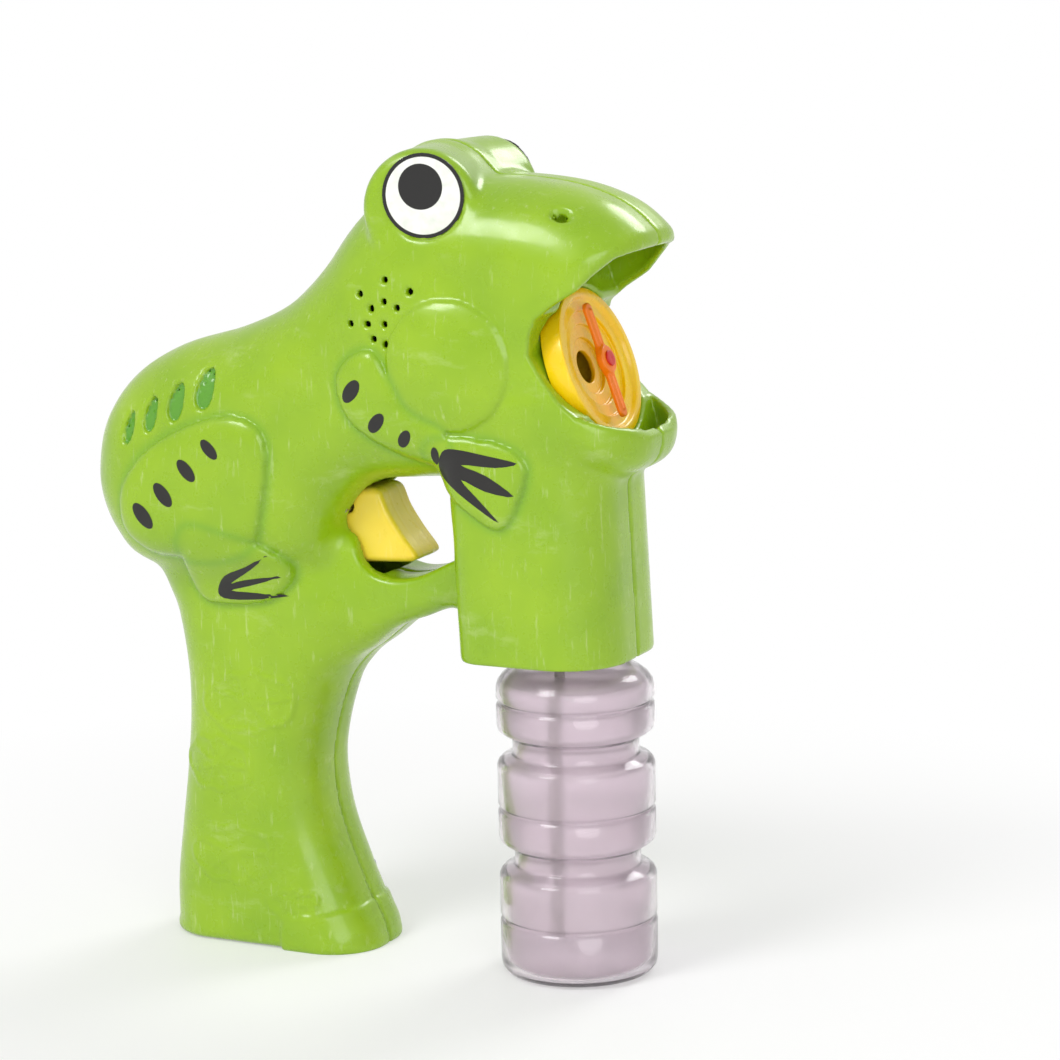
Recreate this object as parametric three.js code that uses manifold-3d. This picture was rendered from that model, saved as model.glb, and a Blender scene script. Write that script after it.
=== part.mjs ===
// Frog-shaped bubble machine: a hand-held toy that pumps bubble solution from a screw-on bottle to a
// ring in its mouth while a fan blows through it. Millimetres, +Z up, +X is the way the mouth faces.
// The shapes are drawn in a design frame whose X and Y zero is the bottle axis and whose Z zero is the
// ground; the finished group is then moved so that its origin is the middle of its footprint.
import * as THREE from 'three';
import { mergeVertices } from 'three/addons/utils/BufferGeometryUtils.js';
import Module from 'manifold-3d';

const wasm = await Module();
wasm.setup();
const { Manifold, Mesh } = wasm;

// ---------------------------------------------------------------- driving sizes
const GAP = 0.3; // clearance between neighbouring pieces
const WALL = 2.2; // moulded shell thickness
const BOTTLE_RADIUS = 19.2;
const BOTTLE_WALL = 1.2;
const NECK_RADIUS = 11.5;
const GRIP_HALF_WIDTH = 16.2;
const BODY_HALF_WIDTH = 24.5;
const HEAD_HALF_WIDTH = 23;
const SKIRT_BOTTOM = 79;
const SKIRT_TOP = 142;
const SKIRT_LENGTH = 39.5;
const SKIRT_WIDTH = 43.5;
const SKIRT_CORNERS = { front: 16, rear: 7 };
const SKIRT_RAKE = 2.7; // degrees the front housing leans back from the bottle axis
const RING_RADIUS = 18.4;
const RING_CENTRE = new THREE.Vector3(5.6, 0, 149.2);
const DRIVE_PITCH = 20; // degrees the mouth ring and the drive line behind it point upwards
const BACK_X = -125.6; // rearmost point of the rump
const FRONT_X = 24.6; // tip of the snout
const CELL_RADIUS = 7; // AA cell
const CELL_LENGTH = 50.5;
const CELL_BOTTOM = 10.5;
const CELLS = [[-92.6, 6], [-78.4, 6], [-85.5, -6.4]]; // X, Y of the three cell axes
const EYE = { x: -32, z: 187, radius: 14.5, y: 20.5, yaw: 10, disc: 10, discX: 1.2, discZ: 3.5, print: 0.4 };
const NOSTRIL = { x: 7, y: 17.2, z: 187, length: 3, depth: 2, height: 2.6 }; // middle and half sizes
const VENT_DEPTH = 1.2; // the slots on the rump are blind
const TRIGGER_PIVOT = { x: -57.5, z: 112.5, radius: 1.5, boss: 3.2 };
const TRIGGER_HALF_WIDTH = 7;
const TRIGGER_PLAY = 0.7; // room on either side of the trigger in its slot
const PIN_HALF_LENGTH = TRIGGER_HALF_WIDTH + 2.6;
const SWITCH_HALF_WIDTH = 3;
const FAN_RADIUS = 16.5;
const GEAR_MODULE = 0.6;
const SMALL_TEETH = 10;
const LARGE_TEETH = 30;
const GEAR_CENTRES = (GEAR_MODULE * (SMALL_TEETH + LARGE_TEETH)) / 2;
const SHAFT_RADIUS = 1.2; // of the wiper's shaft
const MOTOR = { radius: 10, flat: 7.5, shaft: 1 };

// distances behind the mouth ring, measured along the drive line
const STATION = {
  wiper: -3.4,
  chamber: [3.2, 18],
  pump: [23, 35],
  frontPlate: [37, 38.4],
  slowGears: [39, 42],
  fastGears: [44, 47],
  rearPlate: [48.4, 49.8],
  motor: [50.1, 75.1],
  fan: [84, 96],
  fanHousing: [80, 99],
};
const CHAMBER_RADIUS = RING_RADIUS - 4.4;
const FEED_OFFSET = CHAMBER_RADIUS - 4; // below the drive line, where the pump tube enters the chamber
const DUCT_STATION = 10.5; // where the air duct enters the chamber from above
const DUCT = { outer: 4.6, inner: 3.6 };
const TUBE_RADIUS = 1.5; // of the pump tube
const PUMP_TUBE_TURN = 10.9; // radius of the pump tube's loop
const ROLLER_ORBIT = 6.2;
const ROLLER_RADIUS = 2.8;
const PUMP_HOUSING_RADIUS = 14.4;

// X, Z, radius of the bosses and screws that join the two shell halves
const SCREWS = [[-114, 118], [-60, 165.5], [-8, 180], [-84, 80], [-64.5, 16], [-33, 92.6]];
const SCREW = { shank: 1.3, head: 2.6, boss: 4, hole: 1.6, seat: 9, headHeight: 1.8, reach: 9 };

const deg = THREE.MathUtils.degToRad;

// ---------------------------------------------------------------- solids
function solid(geometry) {
  const bare = new THREE.BufferGeometry();
  bare.setAttribute('position', geometry.getAttribute('position'));
  if (geometry.index) bare.setIndex(geometry.index);
  const merged = mergeVertices(bare, 1e-4);
  const position = merged.getAttribute('position');
  const index = [];
  for (let i = 0; i < merged.index.count; i += 3) {
    const [a, b, c] = [0, 1, 2].map((k) => merged.index.getX(i + k));
    if (a !== b && b !== c && c !== a) index.push(a, b, c);
  }
  const body = new Manifold(new Mesh({
    numProp: 3,
    vertProperties: new Float32Array(position.array),
    triVerts: new Uint32Array(index),
  }));
  return body;
}

function geometryOf(body) {
  const mesh = body.getMesh();
  const geometry = new THREE.BufferGeometry();
  geometry.setAttribute('position', new THREE.BufferAttribute(new Float32Array(mesh.vertProperties), 3));
  geometry.setIndex(new THREE.BufferAttribute(new Uint32Array(mesh.triVerts), 1));
  const flat = geometry.toNonIndexed();
  flat.computeVertexNormals();
  return flat;
}

const join = (bodies) => Manifold.union(bodies);
const cut = (body, tools) => Manifold.difference([body, ...tools]);
const common = (a, b) => Manifold.intersection([a, b]);

function warp(geometry, change) {
  const position = geometry.getAttribute('position');
  const point = new THREE.Vector3();
  for (let i = 0; i < position.count; i += 1) {
    point.fromBufferAttribute(position, i);
    change(point);
    position.setXYZ(i, point.x, point.y, point.z);
  }
  return geometry;
}

// a closed outline through the given corner points, or a smooth one through them
const polygon = (points) => new THREE.Shape(points.map(([a, b]) => new THREE.Vector2(a, b)));

function smoothShape(points, count) {
  const knots = points.map(([a, b]) => new THREE.Vector3(a, b, 0));
  const curve = new THREE.CatmullRomCurve3(knots, true, 'centripetal');
  return new THREE.Shape(curve.getPoints(count).slice(0, -1).map((p) => new THREE.Vector2(p.x, p.y)));
}

function ellipseShape(x, y, rx, ry, turn = 0) {
  const shape = new THREE.Shape();
  shape.absellipse(x, y, rx, ry, 0, Math.PI * 2, false, deg(turn));
  return shape;
}

// a rectangle with rounded corners; its two corners at the +X end may have their own radius
function roundedRectangle(width, height, radius, front = radius) {
  const [w, h] = [width / 2, height / 2];
  const shape = new THREE.Shape();
  shape.moveTo(-w + radius, -h);
  shape.lineTo(w - front, -h);
  shape.absarc(w - front, -h + front, front, -Math.PI / 2, 0);
  shape.absarc(w - front, h - front, front, 0, Math.PI / 2);
  shape.absarc(-w + radius, h - radius, radius, Math.PI / 2, Math.PI);
  shape.absarc(-w + radius, -h + radius, radius, Math.PI, Math.PI * 1.5);
  return shape;
}

// a side outline (X, Z) given thickness between two Y planes, with an optional rounded edge
function slab(shape, y0, y1, edge = 0, segments = 5, edgeSteps = 2) {
  const geometry = new THREE.ExtrudeGeometry(shape, {
    depth: y1 - y0 - 2 * edge,
    curveSegments: segments,
    bevelEnabled: edge > 0,
    bevelThickness: edge,
    bevelSize: edge,
    bevelOffset: -edge,
    bevelSegments: edgeSteps,
  });
  geometry.rotateX(Math.PI / 2);
  geometry.translate(0, y1 - edge, 0);
  return solid(geometry);
}

// a plan outline (X, Y) given height between two Z planes
function tower(shape, z0, z1, segments = 8) {
  const geometry = new THREE.ExtrudeGeometry(shape, {
    depth: z1 - z0, curveSegments: segments, bevelEnabled: false,
  });
  geometry.translate(0, 0, z0);
  return solid(geometry);
}

// a cushion: the side outline shrinks towards its centre as it nears either flank
function cushion(points, centre, halfWidth, { inset = 0, power = 3, count = 30, layers = 7 } = {}) {
  const geometry = new THREE.ExtrudeGeometry(smoothShape(points, count), {
    depth: 1, steps: layers, bevelEnabled: false,
  });
  const farthest = deg(84);
  warp(geometry, (p) => {
    const angle = THREE.MathUtils.lerp(-farthest, farthest, p.z);
    const side = Math.sign(angle) * Math.abs(Math.sin(angle)) ** (2 / power);
    const size = Math.cos(angle) ** (2 / power);
    const [dx, dz] = [p.x - centre[0], p.y - centre[1]];
    const reach = Math.hypot(dx, dz);
    const scale = (size * (reach - inset)) / reach;
    p.set(centre[0] + dx * scale, -(halfWidth - inset) * side, centre[1] + dz * scale);
  });
  return solid(geometry);
}

// a turned piece about Z from a profile of [radius, height]
function turned(profile, segments = 40) {
  return solid(new THREE.LatheGeometry(profile.map(([r, z]) => new THREE.Vector2(r, z)), segments)
    .rotateX(Math.PI / 2));
}

const rod = (radius, z0, z1, segments = 20) =>
  turned([[0, z0], [radius, z0], [radius, z1], [0, z1]], segments);

const pipe = (outer, inner, z0, z1, segments = 20) =>
  turned([[inner, z0], [outer, z0], [outer, z1], [inner, z1], [inner, z0]], segments);

function block(x0, x1, y0, y1, z0, z1) {
  const geometry = new THREE.BoxGeometry(x1 - x0, y1 - y0, z1 - z0);
  geometry.translate((x0 + x1) / 2, (y0 + y1) / 2, (z0 + z1) / 2);
  return solid(geometry);
}

// a round cord or wire along a curve
function cord(points, radius, steps, sides = 8) {
  const path = new THREE.CatmullRomCurve3(points, false, 'centripetal');
  return solid(new THREE.ExtrudeGeometry(ellipseShape(0, 0, radius, radius), {
    steps, extrudePath: path, bevelEnabled: false, curveSegments: sides / 2,
  }));
}

function coil(radius, wire, length, turns) {
  const points = [];
  const perTurn = 8;
  for (let i = 0; i <= turns * perTurn; i += 1) {
    const angle = (i / perTurn) * Math.PI * 2;
    const height = wire + ((length - 2 * wire) * i) / (turns * perTurn);
    points.push(new THREE.Vector3(radius * Math.cos(angle), radius * Math.sin(angle), height));
  }
  return cord(points, wire, turns * perTurn, 4);
}

// turn a body built along Z so that it runs along +Y, with its base at y
function alongY(body, x, y, z) {
  return body.rotate([-90, 0, 0]).translate([x, y, z]);
}

// place a body built along Z on the drive line: its Z runs rearwards from the mouth ring
const driveFrame = new THREE.Matrix4().makeBasis(
  new THREE.Vector3(-Math.sin(deg(DRIVE_PITCH)), 0, Math.cos(deg(DRIVE_PITCH))),
  new THREE.Vector3(0, 1, 0),
  new THREE.Vector3(-Math.cos(deg(DRIVE_PITCH)), 0, -Math.sin(deg(DRIVE_PITCH))),
).setPosition(RING_CENTRE);
const onDrive = (body) => body.transform(driveFrame.elements);
const drivePoint = (up, across, behind) => new THREE.Vector3(up, across, behind).applyMatrix4(driveFrame);

function part(name, body, colour, roughness = 0.35, metalness = 0, opacity = 1) {
  const material = new THREE.MeshStandardMaterial({ color: colour, roughness, metalness });
  material.opacity = opacity;
  material.transparent = opacity < 1;
  const mesh = new THREE.Mesh(geometryOf(body), material);
  mesh.name = name;
  return mesh;
}

const GREEN = 0xa5cb22;
const YELLOW = 0xfce03a;
const STEEL = 0xb9bcc0;
const WHITE = 0xf2f2ee;

// ---------------------------------------------------------------- outlines of the animal, X and Z
const TORSO = {
  centre: [-66, 128],
  points: [
    [-113, 96], [-120.5, 103], [-124.8, 112], [-125.6, 121.5], [-122.5, 133], [-114, 143.5], [-101, 151.2],
    [-84, 156.2], [-70, 162.5], [-58, 172.5], [-44, 180], [-20, 176], [-6, 162], [-4, 140], [-14, 124],
    [-34, 121.5], [-48, 119.5], [-56, 112], [-60, 100], [-72, 95], [-95, 92],
  ],
};
const HEAD = {
  centre: [-15, 160],
  points: [
    [24.4, 178.5], [21, 184], [13, 189.5], [-1, 193.2], [-22, 194], [-42, 190], [-55, 178], [-59, 160],
    [-50, 143], [-34, 131], [-12, 124], [6, 122], [19, 125], [24.2, 131], [23.5, 145], [24.2, 165],
  ],
};
const MOUTH = [
  [40, 186], [24.6, 178.7], [19.4, 176.7], [15.6, 173.2], [11.9, 169.4], [5.9, 165.6], [1.7, 162.2],
  [0.3, 158.7], [0, 154], [3.7, 148.1], [7.5, 143.5], [11.5, 140.1], [17.1, 137.9], [21.6, 136.5],
  [23.6, 134.4], [40, 131],
];
const FINGER_HOLE = [
  [-54.2, 108], [-52.7, 113.6], [-48.5, 117.6], [-40, 119.6], [-31, 119.3], [-26, 116.5], [-23.7, 110],
  [-24.2, 103.7], [-29, 100.6], [-38, 96.6], [-46, 96.2], [-52, 99.6],
];
const GUARD = [
  [-18, 86.5], [-28, 89.2], [-36, 86.6], [-44, 83.4], [-54, 77], [-66, 74], [-66, 104], [-54, 106],
  [-44, 103], [-30, 106], [-18, 110],
];
const TRIGGER = [
  [-48.9, 116.6], [-46.5, 111.6], [-43, 106.4], [-39.2, 101.6], [-39.8, 100], [-43, 99.4], [-58.6, 98.6],
  [-60.6, 100], [-61, 106], [-61, 113], [-57, 116.2], [-53, 117.2],
];
const THIGH = [
  [-98.9, 100.1], [-106.1, 101.1], [-112.2, 107], [-111.4, 116.5], [-104.9, 125.5], [-95, 131.8],
  [-83.1, 135.8], [-74, 135], [-69.8, 128.7], [-71.4, 115], [-75, 104.5], [-85, 100],
];
const FOOT = [
  [-93, 108], [-96.1, 95.5], [-92.9, 88.6], [-84, 87.8], [-74, 90], [-67, 97], [-72, 103.5], [-82, 107],
];
const ARM = [
  [-49.8, 147], [-46, 152.3], [-39.5, 153.6], [-35.4, 147.5], [-30.5, 140], [-22, 136], [-20, 131],
  [-22.7, 125.6], [-32, 128], [-42.5, 133.4], [-48.4, 139.5],
];
const HAND = [[-25, 133], [-26, 124], [-18, 117], [-8.5, 112.5], [-3, 120], [-1.5, 129], [-10, 133.5]];
// X, Z, width and height of each slot
const VENTS = [
  [-109.4, 132.4, 2.6, 8.5], [-102.8, 136, 3, 9], [-95.4, 139.4, 3.6, 9.6], [-87.2, 143, 4.2, 10],
];
const SPEAKER_HOLES = [
  [-36.5, 170.8], [-43, 167.3], [-29.9, 168.2], [-36.6, 165.6], [-39.9, 163.9], [-33.2, 164.3],
  [-45.6, 160.1], [-41.1, 160.2], [-36.5, 160.4], [-39.6, 156.7], [-36.4, 155.5],
];

// the grip: height, rear X and front X of its side outline
const GRIP = [
  [0, -107.6, -56.2], [2.5, -110, -53.6], [10, -110.2, -56.4], [20, -109.4, -60.8], [30, -107.7, -64.5],
  [45, -105.5, -66.7], [60, -104.2, -64], [70, -104.6, -61], [80, -106, -54], [90, -108.6, -52],
  [100, -110, -54],
];

// ---------------------------------------------------------------- shell
function gripBody(inset) {
  const layers = 10;
  const sideCurve = (points) => new THREE.CatmullRomCurve3(points, false, 'centripetal');
  const rear = sideCurve(GRIP.map(([z, x]) => new THREE.Vector3(x, 0, z)));
  const front = sideCurve(GRIP.map(([z, , x]) => new THREE.Vector3(x, 0, z)));
  const outline = [];
  const around = 20;
  for (let i = 0; i < around; i += 1) {
    const angle = (i / around) * Math.PI * 2;
    const rounding = 2 / 2.7;
    outline.push(new THREE.Vector2(
      Math.sign(Math.cos(angle)) * Math.abs(Math.cos(angle)) ** rounding,
      Math.sign(Math.sin(angle)) * Math.abs(Math.sin(angle)) ** rounding,
    ));
  }
  const geometry = new THREE.ExtrudeGeometry(new THREE.Shape(outline), {
    depth: 1, steps: layers, bevelEnabled: false,
  });
  warp(geometry, (p) => {
    const [back, fore] = [rear.getPoint(p.z), front.getPoint(p.z)];
    const height = p.z * GRIP[GRIP.length - 1][0];
    const foot = height < 2.5 ? (2.5 - height) * 0.8 : 0;
    const half = (fore.x - back.x) / 2 - inset;
    p.set((fore.x + back.x) / 2 + p.x * half, p.y * (GRIP_HALF_WIDTH - inset - foot), (back.z + fore.z) / 2);
    if (inset > 0) p.z = inset + (p.z * (100 - inset)) / 100;
  });
  return solid(geometry);
}

// X of the middle of the raked front housing at a height
const skirtMiddle = (z) => -2.65 - (z - SKIRT_BOTTOM) * Math.tan(deg(SKIRT_RAKE));

const skirtPlan = (inset) => roundedRectangle(SKIRT_LENGTH - 2 * inset, SKIRT_WIDTH - 2 * inset,
  SKIRT_CORNERS.rear - inset, SKIRT_CORNERS.front - inset);

function skirtBody(inset, bottom, top) {
  const body = tower(skirtPlan(inset), bottom - SKIRT_TOP, top - SKIRT_TOP, 5);
  return body.rotate([0, -SKIRT_RAKE, 0]).translate([skirtMiddle(SKIRT_TOP), 0, SKIRT_TOP]);
}

// a body built outwards along +Y, turned to face one side and put at the eye's place
const atEye = (body, side, x = EYE.x, z = EYE.z) => alongY(body, 0, 0, 0)
  .rotate([0, 0, side > 0 ? 0 : 180]).rotate([0, 0, -side * EYE.yaw]).translate([x, 0, z]);

// the two eye bosses run into one another across the middle of the head
function eyeBoss(side, inset) {
  const [r, y] = [EYE.radius - inset, EYE.y - inset];
  const pastMiddle = -4;
  const profile = [[0, pastMiddle], [r, pastMiddle], [r, y - 6], [r - 1.2, y - 2], [r - 3.6, y], [0, y]];
  return atEye(turned(profile, 24), side);
}

function bodyForm(inset) {
  const [count, layers] = inset > 0 ? [20, 5] : [30, 7];
  return join([
    cushion(TORSO.points, TORSO.centre, BODY_HALF_WIDTH, { inset, count, layers }),
    cushion(HEAD.points, HEAD.centre, HEAD_HALF_WIDTH, { inset, count, layers }),
    eyeBoss(1, inset),
    eyeBoss(-1, inset),
    gripBody(inset),
  ]);
}

const guardForm = () => slab(polygon(GUARD), -11.5, 11.5, 2.5);

// raised limbs moulded on both flanks, and the round cheek
function reliefs(side) {
  const limb = (points, y, edge) => {
    const body = slab(smoothShape(points, 20), 12, y, edge, 5, 1);
    return side > 0 ? body : body.mirror([0, 1, 0]);
  };
  const cheek = turned([[0, 0], [15.4, 0], [15.4, 9.5], [12, 11], [6, 12], [0, 12.2]], 22);
  const placed = alongY(cheek, -20.5, 12.4, 151);
  return [
    limb(THIGH, BODY_HALF_WIDTH + 1.4, 1.4),
    limb(FOOT, 20.5, 1.2),
    limb(ARM, BODY_HALF_WIDTH + 0.6, 1.2),
    limb(HAND, 23.6, 0.8),
    side > 0 ? placed : placed.mirror([0, 1, 0]),
  ];
}

function shellOuter() {
  return join([
    bodyForm(0), guardForm(), skirtBody(0, SKIRT_BOTTOM, SKIRT_TOP), ...reliefs(1), ...reliefs(-1),
  ]);
}

// the bulkhead across the throat, level with the ring's rim, and all that lies in front of it
const BULKHEAD = [-3.2, -1.2];
const acrossThroat = ([z0, z1]) => onDrive(block(-80, 80, -80, 80, z0, z1));

// the hollow inside the shell, kept a wall away from the mouth and the finger hole; in front of the
// bulkhead the snout and the jaw are open to the mouth
function shellHollow() {
  const hollow = join([
    bodyForm(WALL),
    skirtBody(WALL, SKIRT_BOTTOM - 10, SKIRT_TOP - WALL),
    slab(polygon(GUARD), -9.3, 9.3).intersect(block(-66, -18, -20, 20, 91.4, 95)),
  ]);
  const mouthSkin = slab(polygon(MOUTH.map(([x, z]) => [x - WALL - 0.6, z])), -60, 60);
  const holeSkin = slab(outlineAround(FINGER_HOLE, WALL), -60, 60);
  const boreSkin = onDrive(rod(RING_RADIUS + GAP + WALL, -60, 5.2, 40));
  const room = TRIGGER_HALF_WIDTH + TRIGGER_PLAY;
  const slot = block(-75, -48, -room, room, 94.6, 119);
  const behind = cut(hollow, [mouthSkin, holeSkin, boreSkin, acrossThroat(BULKHEAD)]);
  const insideHead = cushion(HEAD.points, HEAD.centre, HEAD_HALF_WIDTH, { inset: WALL, count: 20, layers: 5 });
  const inFront = common(insideHead, acrossThroat([-60, BULKHEAD[0]]));
  return join([behind, slot, inFront]);
}

function outlineAround(points, distance) {
  const centre = new THREE.Vector2();
  points.forEach(([x, z]) => centre.add(new THREE.Vector2(x, z)));
  centre.divideScalar(points.length);
  return smoothShape(points.map(([x, z]) => {
    const away = new THREE.Vector2(x, z).sub(centre);
    away.setLength(away.length() + distance).add(centre);
    return [away.x, away.y];
  }), 32);
}

// posts for the screws, and bearings for the trigger pin on both sides of the trigger
function bosses() {
  const reach = 24;
  const bearing = rod(TRIGGER_PIVOT.boss, TRIGGER_HALF_WIDTH + TRIGGER_PLAY, reach, 12);
  const bearings = [alongY(bearing, 0, 0, 0), alongY(bearing, 0, 0, 0).mirror([0, 1, 0])];
  return [
    ...SCREWS.map(([x, z]) => alongY(rod(SCREW.boss, -reach, reach, 10), x, 0, z)),
    ...bearings.map((body) => body.translate([TRIGGER_PIVOT.x, 0, TRIGGER_PIVOT.z])),
  ];
}

function nostril(side) {
  const { x, y, z, length, depth, height } = NOSTRIL;
  return solid(new THREE.SphereGeometry(1, 12, 8).scale(length, depth, height)).translate([x, side * y, z]);
}

function shell() {
  const skin = cut(shellOuter(), [shellHollow()]);
  const rib = 9; // half width of the ribs that hold the trigger switch from both sides
  const [low, high] = [SWITCH.bottom + 0.4, SWITCH.top - 0.4];
  const clamps = [1, -1].map((side) => block(SWITCH.back + 1, SWITCH.front - 1.2, -rib, rib, low, high)
    .translate([0, side * (SWITCH_HALF_WIDTH + GAP + rib), 0]));
  const posts = common(join([...bosses(), ...clamps]), shellOuter());
  const openings = [
    slab(polygon(MOUTH), -60, 60),
    slab(smoothShape(FINGER_HOLE, 32), -60, 60),
    onDrive(rod(RING_RADIUS + GAP, -60, 2.7, 40)),
    onDrive(rod(RING_RADIUS - 3.6, -1, 24, 40)),
    alongY(rod(TRIGGER_PIVOT.radius + GAP, -PIN_HALF_LENGTH - GAP, PIN_HALF_LENGTH + GAP, 16),
      TRIGGER_PIVOT.x, 0, TRIGGER_PIVOT.z),
    nostril(1),
    nostril(-1),
    eyeSeat(1),
    eyeSeat(-1),
    cut(join(VENTS.map(([x, z, w, h]) => slab(ellipseShape(x, z, w / 2, h / 2, 20), -60, 60, 0, 3))),
      [bodyForm(VENT_DEPTH)]),
    ...SPEAKER_HOLES.map(([x, z]) => slab(ellipseShape(x, z, 0.8, 0.8), -60, -5, 0, 2)),
  ];
  return cut(join([skin, posts]), openings);
}

const DOOR = { x0: -101, x1: -70, z0: 7, z1: 67, thickness: 2 };

function doorOutline(grow) {
  const shape = roundedRectangle(DOOR.x1 - DOOR.x0 + 2 * grow, DOOR.z1 - DOOR.z0 + 2 * grow, 3 + grow);
  return slab(shape, 5, 40).translate([(DOOR.x0 + DOOR.x1) / 2, 0, (DOOR.z0 + DOOR.z1) / 2]);
}

function rightShell(whole) {
  const half = common(whole, block(-200, 200, -100, -GAP / 2, -10, 300));
  const pilot = rod(SCREW.shank + 0.1, -SCREW.reach - 1, 1, 8);
  return cut(half, SCREWS.map(([x, z]) => alongY(pilot, x, 0, z)));
}

function leftShell(whole) {
  const half = common(whole, block(-200, 200, GAP / 2, 100, -10, 300));
  const drilled = SCREWS.flatMap(([x, z]) => [
    alongY(rod(SCREW.hole, -1, 60, 8), x, 0, z),
    alongY(rod(SCREW.head + GAP, SCREW.seat, 60, 12), x, 0, z),
  ]);
  return cut(half, [...drilled, doorOutline(GAP)]);
}

function batteryDoor() {
  const skin = cut(gripBody(0), [gripBody(DOOR.thickness)]);
  return common(skin, doorOutline(0));
}

function shellScrew([x, z]) {
  const { shank, head, seat, headHeight, reach } = SCREW;
  const body = turned([
    [0, -reach], [shank, -reach + 1], [shank, seat + GAP], [head, seat + GAP], [head, seat + headHeight],
    [0, seat + headHeight],
  ], 12);
  const slotA = block(-0.4, 0.4, -1.8, 1.8, seat + headHeight - 0.8, seat + headHeight + 1);
  return alongY(cut(body, [slotA, slotA.rotate([0, 0, 90])]), x, 0, z);
}

// ---------------------------------------------------------------- eyes
// the flat that the printed disc lies on, cut where the head bulges past it
const eyeSeat = (side) => atEye(rod(EYE.disc + GAP, EYE.y, EYE.y + 6, 24), side, EYE.x + EYE.discX,
  EYE.z + EYE.discZ);

function eyeDisc(side) {
  const clear = 0.05;
  const disc = rod(EYE.disc, EYE.y + clear, EYE.y + EYE.print, 40);
  return atEye(disc, side, EYE.x + EYE.discX, EYE.z + EYE.discZ);
}

// ---------------------------------------------------------------- mouth ring, chamber and wiper
function mouthRing() {
  const R = RING_RADIUS;
  return onDrive(turned([
    [4, 2.4], [4, 1.2], [7, 1.2], [7, 0.2], [10, 0.2], [10, -0.8], [13, -0.8], [13, -1.8], [15.6, -1.8],
    [16.4, -3], [R, -3], [R, 2.4], [4, 2.4],
  ], 30));
}

function airChamber() {
  const [z0, z1] = STATION.chamber;
  const [outer, skin, bearing, bore] = [CHAMBER_RADIUS, 1.4, 4, SHAFT_RADIUS + GAP];
  const cup = turned([
    [outer - skin, z0], [outer, z0], [outer, z1], [bore, z1], [bore, z1 - bearing],
    [bearing, z1 - bearing], [bearing, z1 - skin], [outer - skin, z1 - skin], [outer - skin, z0],
  ], 28);
  const inlet = rod(DUCT.outer + 0.8, 0, 20, 16).rotate([0, 90, 0]).translate([0, 0, DUCT_STATION]);
  const feed = rod(TUBE_RADIUS + 1.1, z1 - 3, z1 + 2, 10).translate([-FEED_OFFSET - 0.3, -0.4, 0]);
  return onDrive(cut(cup, [inlet, feed]));
}

function wiper() {
  const blade = tower(roundedRectangle(2 * RING_RADIUS - 8, 3.4, 1.6), 0, 1.2, 5);
  const hub = rod(3.4, -0.8, 1.2, 20);
  const shaft = rod(SHAFT_RADIUS, 1, STATION.slowGears[0] - STATION.wiper - GAP, 12);
  return onDrive(join([blade, hub, shaft]).translate([0, 0, STATION.wiper - 1.2]));
}

// ---------------------------------------------------------------- motor, gears and fan
function gearShape(teeth) {
  const shape = new THREE.Shape();
  const pitch = (GEAR_MODULE * teeth) / 2;
  const steps = [[-0.3, -1.1], [-0.17, 0.8], [0.17, 0.8], [0.3, -1.1]];
  for (let i = 0; i < teeth; i += 1) {
    steps.forEach(([shift, height], k) => {
      const angle = ((i + shift * 0.9) / teeth) * Math.PI * 2;
      const radius = pitch + height * GEAR_MODULE;
      const [x, y] = [radius * Math.cos(angle), radius * Math.sin(angle)];
      if (i + k === 0) shape.moveTo(x, y);
      else shape.lineTo(x, y);
    });
  }
  return shape;
}

const gear = (teeth, [z0, z1]) => tower(gearShape(teeth), z0, z1);

function pumpRotor() {
  const [z0, z1] = STATION.slowGears;
  const wheel = gear(LARGE_TEETH, [z0, z1]).rotate([0, 0, 180 / LARGE_TEETH]);
  const [p0, p1] = STATION.pump;
  const collar = rod(3, p1 - 2, z0 + 0.1, 20);
  const disc = rod(ROLLER_ORBIT + 2.2, p1 - 2, p1 - 0.8, 28);
  const body = join([wheel, collar, disc, ...[0, 120, 240].map((turn) =>
    rod(1, p0 + 1, p1 - 1.6, 10).translate([ROLLER_ORBIT, 0, 0]).rotate([0, 0, turn]))]);
  return onDrive(cut(body, [rod(SHAFT_RADIUS + 0.05, p1 - 4, z0 - GAP + 0.1, 12)]));
}

function roller(index) {
  const [z0, z1] = STATION.pump;
  return onDrive(pipe(ROLLER_RADIUS, 1.3, z0 + 1.4, z1 - 2.4, 20)
    .translate([ROLLER_ORBIT, 0, 0]).rotate([0, 0, 120 * index]));
}

function pumpHousing() {
  const [z0, z1] = STATION.pump;
  const R = PUMP_HOUSING_RADIUS;
  const cup = turned([
    [SHAFT_RADIUS + GAP, z0 - 1.5], [R, z0 - 1.5], [R, z1 - 1], [R - 1.3, z1 - 1], [R - 1.3, z0],
    [SHAFT_RADIUS + GAP, z0], [SHAFT_RADIUS + GAP, z0 - 1.5],
  ], 26);
  const [mouth, wayOut] = [-5.5, -9]; // the tube enters and leaves through the cup's open side
  return onDrive(cut(cup, [
    block(-30, mouth, -13.2, 13.2, z0 + 0.01, z1 + 5),
    block(-30, wayOut, -13, 13, z0 - 2, z1 + 5),
  ]));
}

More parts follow.
